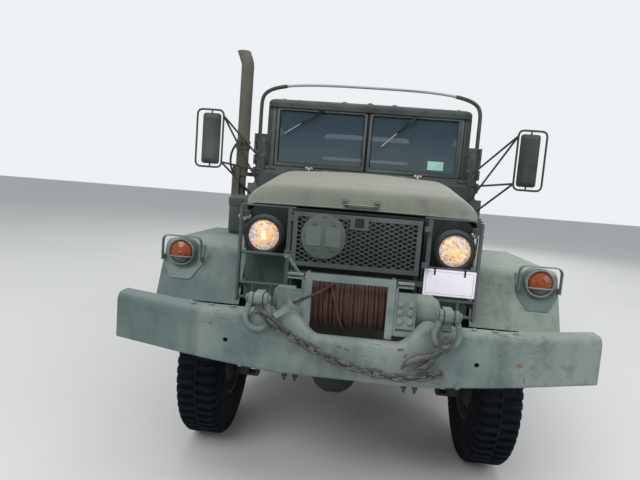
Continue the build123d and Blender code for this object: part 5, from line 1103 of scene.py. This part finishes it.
# Back of a mirror's head, from its glass to its raised middle: depth, inset and cut at the corners
MIRROR_BACK = ((0.462, 0.004, 0.022), (0.464, 0.0, 0.024), (0.452, 0.0, 0.024), (0.449, 0.002, 0.024),
               (0.424, 0.030, 0.020), (0.421, 0.034, 0.018))


class TRUCK_OT_windshield(bpy.types.Operator):
    """Pane frames, seals, wipers, the stops and wing nuts at the windshield's foot, roof domes and mirrors"""
    bl_idname = "truck.windshield"
    bl_label = "Windshield and mirrors"

    def execute(self, context):
        y = WINDSHIELD_Y
        frames, seals, blades, arms = [], [], [], []
        for glass_x, frame_x in PANES:
            pane = (glass_x, PANE_Z)
            frames.append(window_ring((frame_x, PANE_FRAME_Z), pane, 0.016,
                                      (y - 0.0005, y - 0.0065, y - 0.0065, y + 0.0118)))
            seals.append(window_ring(inset(pane, -0.001), inset(pane, 0.006), 0.014,
                                     (y + 0.0115, y - 0.001, y + 0.004, y + 0.0115)))
        seals += [box((x0, y - 0.0012, z0), (x1, y - 0.0002, z1)) for x0, x1, z0, z1 in SEAL_STRIPS]
        # The pane frames wear the windshield frame's lighter copy of the cab paint: painted light.
        add("pane_frames", frames, "frame", (), 35, 0.0015)
        add("window_seals", seals, "seal")
        for x0, z0, x1, z1 in WIPERS:
            start, end, t = np.array([x0, y - 0.020, z0]), np.array([x1, y - 0.006, z1]), np.linspace(0, 1, 24)
            path = start + (end - start) * t[:, None]
            arms.append(tube(path[:16], np.interp(t[:16], [0, 0.1, 0.3, 0.66], [0.009, 0.0115, 0.0095, 0.006]), 10,
                             about=Y, flat=0.6))
            arms.append(lathe([(y - 0.026, 0), (y - 0.026, 0.011), (y, 0.013), (y, 0)], 16, 1, (x0, 0, z0)))
            blades.append(tube(path[13:] - 0.002 * Y, 0.0038, 8, about=Y))
        add("wiper_arms", arms, "wiper", ["wipers"])
        add("wiper_blades", blades, "silver")
        add("windshield_sticker", box((0.489, y + 0.0098, 1.857), (0.612, y + 0.0104, 1.925)), "sticker")
        stops, clamps = [], []
        for x in (-0.761, 0.769):
            stops += [capsule((x - 0.052, 0.782, 1.776), (x + 0.052, 0.782, 1.776), 0.018),
                      tube([(x, 0.784, 1.780), (x, 0.800, 1.815)], 0.007, 8, about=X)]
        for x in (-0.437, 0.419):
            clamps += [wing_nut((x, 0.770, 1.793), 0.030),
                       tube([(x, 0.770, 1.76), (x, 0.770, 1.808)], 0.005, 8, about=Y),
                       box((x - 0.022, 0.764, 1.762), (x + 0.022, 0.800, 1.772))]
        add("windshield_stops", stops, "cab")
        add("windshield_wing_nuts", clamps, "silver")
        domes = [lathe([(z, 0.024), (z + 0.007, 0.021), (z + 0.012, 0.012), (z + 0.013, 0)], 16, 2, (x, 0.860, 0))
                 for x, z in ((-0.681, 2.326), (-0.198, 2.332), (0.004, 2.334), (0.197, 2.332), (0.696, 2.326))]
        add("roof_domes", domes, "cab")
        self.mirrors()
        rear, door = ((-0.448, 0.448), (1.872, 2.218)), ((0.925, 1.667), (1.808, 2.191))
        add("rear_window_seal", window_ring(rear, inset(rear, 0.034), 0.05, (1.7495, 1.7430, 1.7430, 1.7495)),
            "seal")
        seal = window_ring(door, inset(door, 0.012), 0.045, (0.781, 0.8055, 0.8055, 0.781), 0)
        add("door_seal_left", seal, "seal", body="door_left")
        add("door_seal_right", mirrored(seal), "seal", body="door_right")
        return {"FINISHED"}

    def mirrors(self):
        """Mirror heads pressed to a raised back, in tube loops on four struts, and their glass."""
        y, (x0, x1), (z0, z1), foot_x, foot_y = 0.450, (1.055, 1.250), (1.745, 2.160), 0.819, 0.766
        head, mouth = (1.076, 1.208), (1.768, 2.136)
        middle_x, middle_z = sum(head) / 2, sum(mouth) / 2
        pieces = [tube(in_plane(round_rectangle((x0, x1), (z0, z1), 0.042, 8), y), 0.0075, 10, True, about=Y)]
        for end, foot in ((z1 - 0.04, 1.835), (z1 - 0.04, 1.620), (z0 + 0.04, 1.750), (z0 + 0.04, 1.500)):
            pieces.append(tube([(x0, y, end), (foot_x, foot_y, foot)], 0.0075, 10))
        pieces.append(box((foot_x - 0.024, foot_y - 0.016, 1.476), (foot_x + 0.012, foot_y + 0.016, 1.860)))
        pieces += [tube([(middle_x, y, a), (middle_x, y, b)], 0.006, 10, about=Y)
                   for a, b in ((z0, mouth[0]), (mouth[1], z1))]
        rows = [in_plane(round_rectangle(*inset((head, mouth), by), cut), depth) for depth, by, cut in MIRROR_BACK]
        ends = [np.broadcast_to((middle_x, row[0, 1], middle_z), row.shape) for row in (rows[0], rows[-1])]
        pieces.append(surface(np.stack([ends[0], *rows, ends[1]]), False, True))
        add("mirror_arms_and_heads", both(*pieces), "cab", ["mirrors"], 30)
        glass = plate(round_rectangle(*inset((head, mouth), 0.008), 0.02), 0.464, 0.4655)
        add("mirror_glass", both(glass), "mirror")


class TRUCK_OT_lamps(bpy.types.Operator):
    """Rims of the head and turn lamps, clamps and hose of the stack, and the plate's straps and border"""
    bl_idname = "truck.lamps"
    bl_label = "Lamps, stack and plate"

    def execute(self, context):
        ring = lathe([(-0.706, 0.078), (-0.716, 0.081), (-0.718, 0.090), (-0.711, 0.1005), (-0.694, 0.1065),
                      (-0.680, 0.1065), (-0.680, 0.1), (-0.698, 0.078)], 56, 1, (LAMP_X, 0, LAMP_Z), True)
        dot = bolts_on([(LAMP_X, -0.7165, LAMP_Z + 0.090)], -Y, 0.004, 0.003)
        add("headlamp_rings", both(ring, dot), "dark_rim", (), 40)
        x, z, bar_z = 0.948, 1.250, 1.226
        rim = lathe([(-0.590, 0.0635), (-0.600, 0.0635), (-0.603, 0.067), (-0.600, 0.0725), (-0.590, 0.0735)], 44,
                    1, (x, 0, z), True)
        bar = tube(rounded([(0.890, -0.600, bar_z), (0.905, -0.617, bar_z), (0.991, -0.617, bar_z),
                            (1.006, -0.600, bar_z)], 0.02), 0.0045, 8)
        screws = bolts_on([(x + 0.068 * math.sin(a), -0.602, z + 0.068 * math.cos(a)) for a in (0.5, 2.6, 4.7)],
                          -Y, 0.0035, 0.003)
        add("turn_lamp_rims", both(rim, bar, screws), "faded", (), 40)
        clamps = [lathe([(z, 0.047), (z, 0.0555), (z + 0.022, 0.0555), (z + 0.022, 0.047)], 36, 2,
                        (-0.960, 0.706, 0), True) for z in (1.905, 1.950)]
        clamps.append(box((-0.995, 0.640, 1.902), (-0.965, 0.660, 1.975)))
        add("stack_clamps", clamps, "stack", (), 35, 0.001)
        hose = rounded([(-0.980, 0.650, 1.965), (-1.034, 0.642, 1.887), (-1.040, 0.642, 1.769),
                        (-0.986, 0.650, 1.668), (-0.894, 0.680, 1.578), (-0.835, 0.730, 1.540)], 0.06, 8)
        add("stack_hose", tube(evenly(hose, 0.012), 0.0085, 10, about=Y), "dark_rim", (), 60)
        rods = [tube([(a, -0.735, b), (c, -0.735, d)], 0.0045, 8) for a, b, c, d in
                ((-0.596, 1.541, -0.320, 1.542), (0.320, 1.545, 0.596, 1.547))]
        add("guard_top_rods", rods, "screen")
        front = GUARD_FRONT - 0.003
        straps = [box((x - 0.004, front - 0.0022, low), (x + 0.004, back, high)) for low, high, back in
                  ((1.272, 1.305, front - 0.0002), (1.302, 1.306, GUARD_FRONT + 0.012)) for x in (0.386, 0.532)]
        add("plate_straps", straps, "wiper")
        edge = ((0.346, 0.576), (1.180, 1.290))
        border = window_ring(edge, inset(edge, 0.0015), 0.003,
                             (front - 0.0001, front - 0.0006, front - 0.0006, front - 0.0001))
        add("plate_border", border, "border")
        return {"FINISHED"}


class TRUCK_OT_bolts(bpy.types.Operator):
    """Bolt heads of the bumper, winch, hood handle, wheels and bed, and the front axle's cover"""
    bl_idname = "truck.bolts"
    bl_label = "Bolts"

    def execute(self, context):
        size = context.scene.truck_sizes.bolt
        top = [(x, -1.062, BUMPER_HIGH) for x in (-0.712, -0.63, -0.531, 0.531, 0.622, 0.708)]
        low = [(x, BUMPER_Y, 0.852) for x in (-0.473, 0.473)]
        add("bumper_bolts", [bolts_on(top, Z, size), bolts_on(low, -Y, size * 0.8)], "faded")
        hung = [(0.788, 0), (0.788, 0.007), (0.806, 0.007), (0.806, 0.013), (0.818, 0.013), (0.818, 0.007),
                (0.850, 0.007), (0.850, 0)]
        hung = [lathe(hung, 12, 2, (x + k, -1.075, 0)) for x in (-0.254, 0.277) for k in (-0.024, 0.024)]
        add("hung_bolts", hung, "chassis")
        winch = [(-0.292, 1.101), (-0.286, 1.136), (-0.245, 1.146)]
        winch += [(x, z) for x in (0.208, 0.254) for z in (1.099, 1.138, 1.177)]
        add("winch_bolts", bolts_on(in_plane(winch, -1.049), -Y, size * 1.35, 0.012), "faded")
        turn = np.linspace(-np.pi / 2, np.pi / 2, 11)
        ball = lathe(0.016 * np.stack([np.sin(turn), np.cos(turn)], -1), 20, 2, (-0.312, -1.005, 1.352))
        add("winch_lever_knob", ball, "dark_rim", (), 60)
        ears = [plate([(x - 0.017, 1.584), (x + 0.017, 1.584), (x + 0.013, 1.604), (x - 0.013, 1.604)], -0.616,
                      -0.598) for x in (-0.083, 0.083)]
        heads = bolts_on([(x, -0.616, 1.594) for x in (-0.083, 0.083)], -Y, 0.006, 0.006)
        add("hood_handle_ears", [*ears, heads], "hood", body="hood")
        turn = np.linspace(-np.pi / 2, np.pi / 2, 15)[1:-1]
        cover = lathe(np.stack([-0.086 + 0.150 * np.sin(turn), 0.193 * np.cos(turn) ** 0.6], -1), 40, 0,
                      (0, 0, TYRE_RADIUS + 0.002))
        add("front_axle_cover", cover, "chassis", (), 60)
        turn = np.linspace(0, 2 * np.pi, 10, endpoint=False)
        ring = 0.1425 * np.stack([0 * turn, np.cos(turn), np.sin(turn)], -1)
        for body, x, y in (("front_wheel", 1.008, 0.0), ("fore_wheels", 0.872, 3.302),
                           ("aft_wheels", 0.872, 4.522)):
            nuts = bolts_on(ring + (x, y, TYRE_RADIUS), X, size * 1.3, 0.022)
            add(body + "_nuts_left", nuts, "wheels", body=body + "_left")
            add(body + "_nuts_right", mirrored(nuts), "wheels", body=body + "_right")
        places = (BOW_Y, 3.040, 3.964, 4.888, 5.780)
        posts = [(1.219, y + k, z) for y in places for k in (-0.024, 0.024) for z in (1.36, 1.60)]
        boards = [(1.173, y + k, z) for y in places for k in (-0.02, 0.02) for z in (1.77, 1.90, 2.03, 2.12)]
        add("bed_bolts", both(bolts_on(posts, X, 0.009, 0.007), bolts_on(boards, X, 0.008, 0.005)), "bed")
        return {"FINISHED"}


# Seats

SWELL, SEAM_WIDTH = 0.009, 0.0034


def loose_parts(mesh):
    """The separate closed parts of a mesh, each as vertices and faces."""
    work = bmesh.new()
    work.from_mesh(mesh)
    bmesh.ops.remove_doubles(work, verts=work.verts, dist=1e-5)
    seen, parts = set(), []
    for start in work.verts:
        if start in seen:
            continue
        found = edge = {start}
        while edge:
            edge = {link.other_vert(vert) for vert in edge for link in vert.link_edges} - found
            found = found | edge
        seen |= found
        order = {vert: k for k, vert in enumerate(sorted(found, key=lambda vert: vert.index))}
        faces = [[order[vert] for vert in face.verts] for face in work.faces if face.verts[0] in found]
        parts.append((np.array([vert.co for vert in order]), faces))
    work.free()
    return parts


def points_of(mesh):
    """A mesh's vertices as an array."""
    points = np.empty(3 * len(mesh.vertices))
    mesh.vertices.foreach_get("co", points)
    return points.reshape(-1, 3)


def swollen(pads):
    """Each pad blown up for twenty frames of cloth under pressure, no point further than SWELL from its start."""
    scene = bpy.context.scene
    for pad in pads:
        settings = pad.modifiers.new("swell", "CLOTH").settings
        settle(settings, use_pressure=True, uniform_pressure_force=4, quality=4)
        settings.effector_weights.gravity = 0
    for number in range(1, 21):
        scene.frame_set(number)
    for pad in pads:
        start, end = points_of(pad.data), points_of(applied(pad))
        way = end - start
        far = np.linalg.norm(way, axis=1, keepdims=True)
        way *= np.minimum(1, SWELL / np.maximum(far, 1e-9))
        pad.modifiers.clear()
        pad.data.vertices.foreach_set("co", (start + way).ravel())
        pad.data.update()
    scene.frame_set(1)


def seam(pad, flat):
    """Two lines of piping across the axis flat, where round rectangles come nearest to the pad's skin."""
    points = points_of(pad.data)
    low, high = points.min(0), points.max(0)
    tree = BVHTree.FromObject(pad, bpy.context.evaluated_depsgraph_get())
    edge = inset([(low[k], high[k]) for k in range(3) if k != flat], 0.006)
    lines = []
    for share in (0.16, 0.84):
        row = in_plane(round_rectangle(*edge, 0.035, 8), low[flat] + share * (high[flat] - low[flat]), flat)
        if flat == 1:
            row[:, 1] += (row[:, 2] - (low[2] + high[2]) / 2) * 0.03
        path = evenly(np.vstack([row, row[:1]]), 0.012)
        near = np.array([tree.find_nearest(Vector(point))[0] for point in path[:-1]])
        lines.append(tube(near - AXLE_Y * Y, SEAM_WIDTH, 8, True, np.eye(3)[flat]))
    return join(*lines)


class TRUCK_OT_seats(bpy.types.Operator):
    """Seat cushions and backs swollen by a cloth simulation inside their canvas, with piped seams"""
    bl_idname = "truck.seats"
    bl_label = "Seat cushions"

    def execute(self, context):
        pads = []
        for points, faces in loose_parts(frame["nodes"]["seat_cushions"].data):
            centre, size = (points.min(0) + points.max(0)) / 2, np.ptp(points, axis=0)
            mesh = bpy.data.meshes.new("pad")
            mesh.from_pydata((centre + (points - centre) * (1 - 2 * SWELL / size)).tolist(), [], faces)
            kind, side = "back" if centre[2] > 1.5 else "cushion", "driver" if centre[0] > 0 else "mates"
            pad = placed(f"seat_{kind}_{side}", mesh)
            settle(pad.modifiers.new("voxels", "REMESH"), mode="VOXEL", voxel_size=0.006)
            context.view_layer.update()
            pad.data = applied(pad)
            pad.modifiers.clear()
            pads.append(pad)
        context.view_layer.update()
        swollen(pads)
        for pad in pads:
            name, mesh = pad.name, pad.data
            piping = seam(pad, 1 if "back" in name else 2)
            bpy.data.objects.remove(pad)
            mesh.materials.clear()
            piece = finish_piece(name, mesh, "seat", ["seat_cushions"], 80)
            add(name + "_piping", piping, "seat_piping", (), 60)
        return {"FINISHED"}


# Stage

class TRUCK_OT_stage(bpy.types.Operator):
    """Pale floor, soft studio light and the camera at the photograph's angle"""
    bl_idname = "truck.stage"
    bl_label = "Stage"

    def execute(self, context):
        scene = context.scene
        view = settle(bpy.data.cameras.new("camera"), sensor_width=36, lens=28.37, clip_end=200)
        camera = placed("camera", view)
        place, turn, down, roll = (0.0, AXLE_Y - 3.241, 1.65), -0.0758, 0.1023, 0.0778
        ahead = Vector((math.sin(turn) * math.cos(down), math.cos(turn) * math.cos(down), -math.sin(down)))
        right = Vector((math.cos(turn), -math.sin(turn), 0))
        up = right.cross(ahead)
        side, up = math.cos(roll) * right + math.sin(roll) * up, math.cos(roll) * up - math.sin(roll) * right
        camera.matrix_world = Matrix([*zip(side, up, -ahead, place), (0, 0, 0, 1)])
        scene.camera = camera
        floor = Finish("floor", (0.62, 0.62, 0.61), 0.9)
        floor.clouds(0.4, 3, 0.55, 0.4, 0.7, (0.56, 0.56, 0.55), 0.3)
        mesh = bpy.data.meshes.new("floor")
        mesh.from_pydata([(-60, -60, 0), (60, -60, 0), (60, 60, 0), (-60, 60, 0)], [], [(0, 1, 2, 3)])
        mesh.materials.append(floor.done())
        placed("floor", mesh)
        for name, place, aim, size, power in (("key", (-4, -10, 9), (0, -1.5, 1), 6, 720),
                                              ("fill", (8, -7, 6), (0, -1, 1), 7, 300),
                                              ("top", (0, 1, 11), (0, 0.5, 0), 9, 470),
                                              ("back", (3, 11, 7), (0, 2, 1), 7, 330)):
            lamp = placed(name, settle(bpy.data.lights.new(name, "AREA"), size=size, energy=power))
            lamp.location = place
            lamp.rotation_euler = (Vector(aim) - Vector(place)).to_track_quat("-Z", "Y").to_euler()
        scene.world = settle(bpy.data.worlds.new("world"), use_nodes=True)
        tree = scene.world.node_tree
        ambient, path = tree.nodes["Background"], tree.nodes.new("ShaderNodeLightPath")
        put(ambient.inputs["Color"], (0.92, 0.96, 1))
        put(ambient.inputs["Strength"], 0.56)
        seen = path.outputs["Is Camera Ray"]
        for ray in ("Is Glossy Ray", "Is Transmission Ray"):
            seen = node(tree, "Math", "Value", {0: seen, 1: path.outputs[ray]}, operation="MAXIMUM")
        backdrop = node(tree, "Background", "Background", {"Color": (0.86, 0.88, 0.9)})
        put(tree.nodes["World Output"].inputs["Surface"],
            node(tree, "MixShader", "Shader", {"Fac": seen, 1: ambient.outputs["Background"], 2: backdrop}))
        scene.view_settings.view_transform = "Standard"
        return {"FINISHED"}


# Steps, panel and run

STEPS = (TRUCK_OT_finishes, TRUCK_OT_bumper, TRUCK_OT_tyres, TRUCK_OT_chain, TRUCK_OT_shackles, TRUCK_OT_rope,
         TRUCK_OT_screen, TRUCK_OT_bow, TRUCK_OT_hood, TRUCK_OT_windshield, TRUCK_OT_lamps,
         TRUCK_OT_bolts, TRUCK_OT_seats, TRUCK_OT_stage)


class TRUCK_PT_panel(bpy.types.Panel):
    """Sizes, colours and one button for each step"""
    bl_idname = "TRUCK_PT_panel"
    bl_label = "Military cargo truck"
    bl_space_type = "VIEW_3D"
    bl_region_type = "UI"
    bl_category = "Truck"

    def draw(self, context):
        for group in (context.scene.truck_sizes, context.scene.truck_colours):
            for name in group.__annotations__:
                self.layout.prop(group, name)
        for step in STEPS:
            self.layout.operator(step.bl_idname)


CLASSES = (TruckColours, TruckSizes, *STEPS, TRUCK_PT_panel)


def register():
    """Registers the classes and hangs the sizes and colours on the scene."""
    for item in CLASSES:
        bpy.utils.register_class(item)
    bpy.types.Scene.truck_colours = bpy.props.PointerProperty(type=TruckColours)
    bpy.types.Scene.truck_sizes = bpy.props.PointerProperty(type=TruckSizes)


def unregister():
    """Takes back what register did."""
    del bpy.types.Scene.truck_sizes
    del bpy.types.Scene.truck_colours
    for item in reversed(CLASSES):
        bpy.utils.unregister_class(item)


def main():
    """Runs every step in order."""
    register()
    for step in STEPS:
        group, name = step.bl_idname.split(".")
        getattr(getattr(bpy.ops, group), name)()


if __name__ == "__main__":
    main()
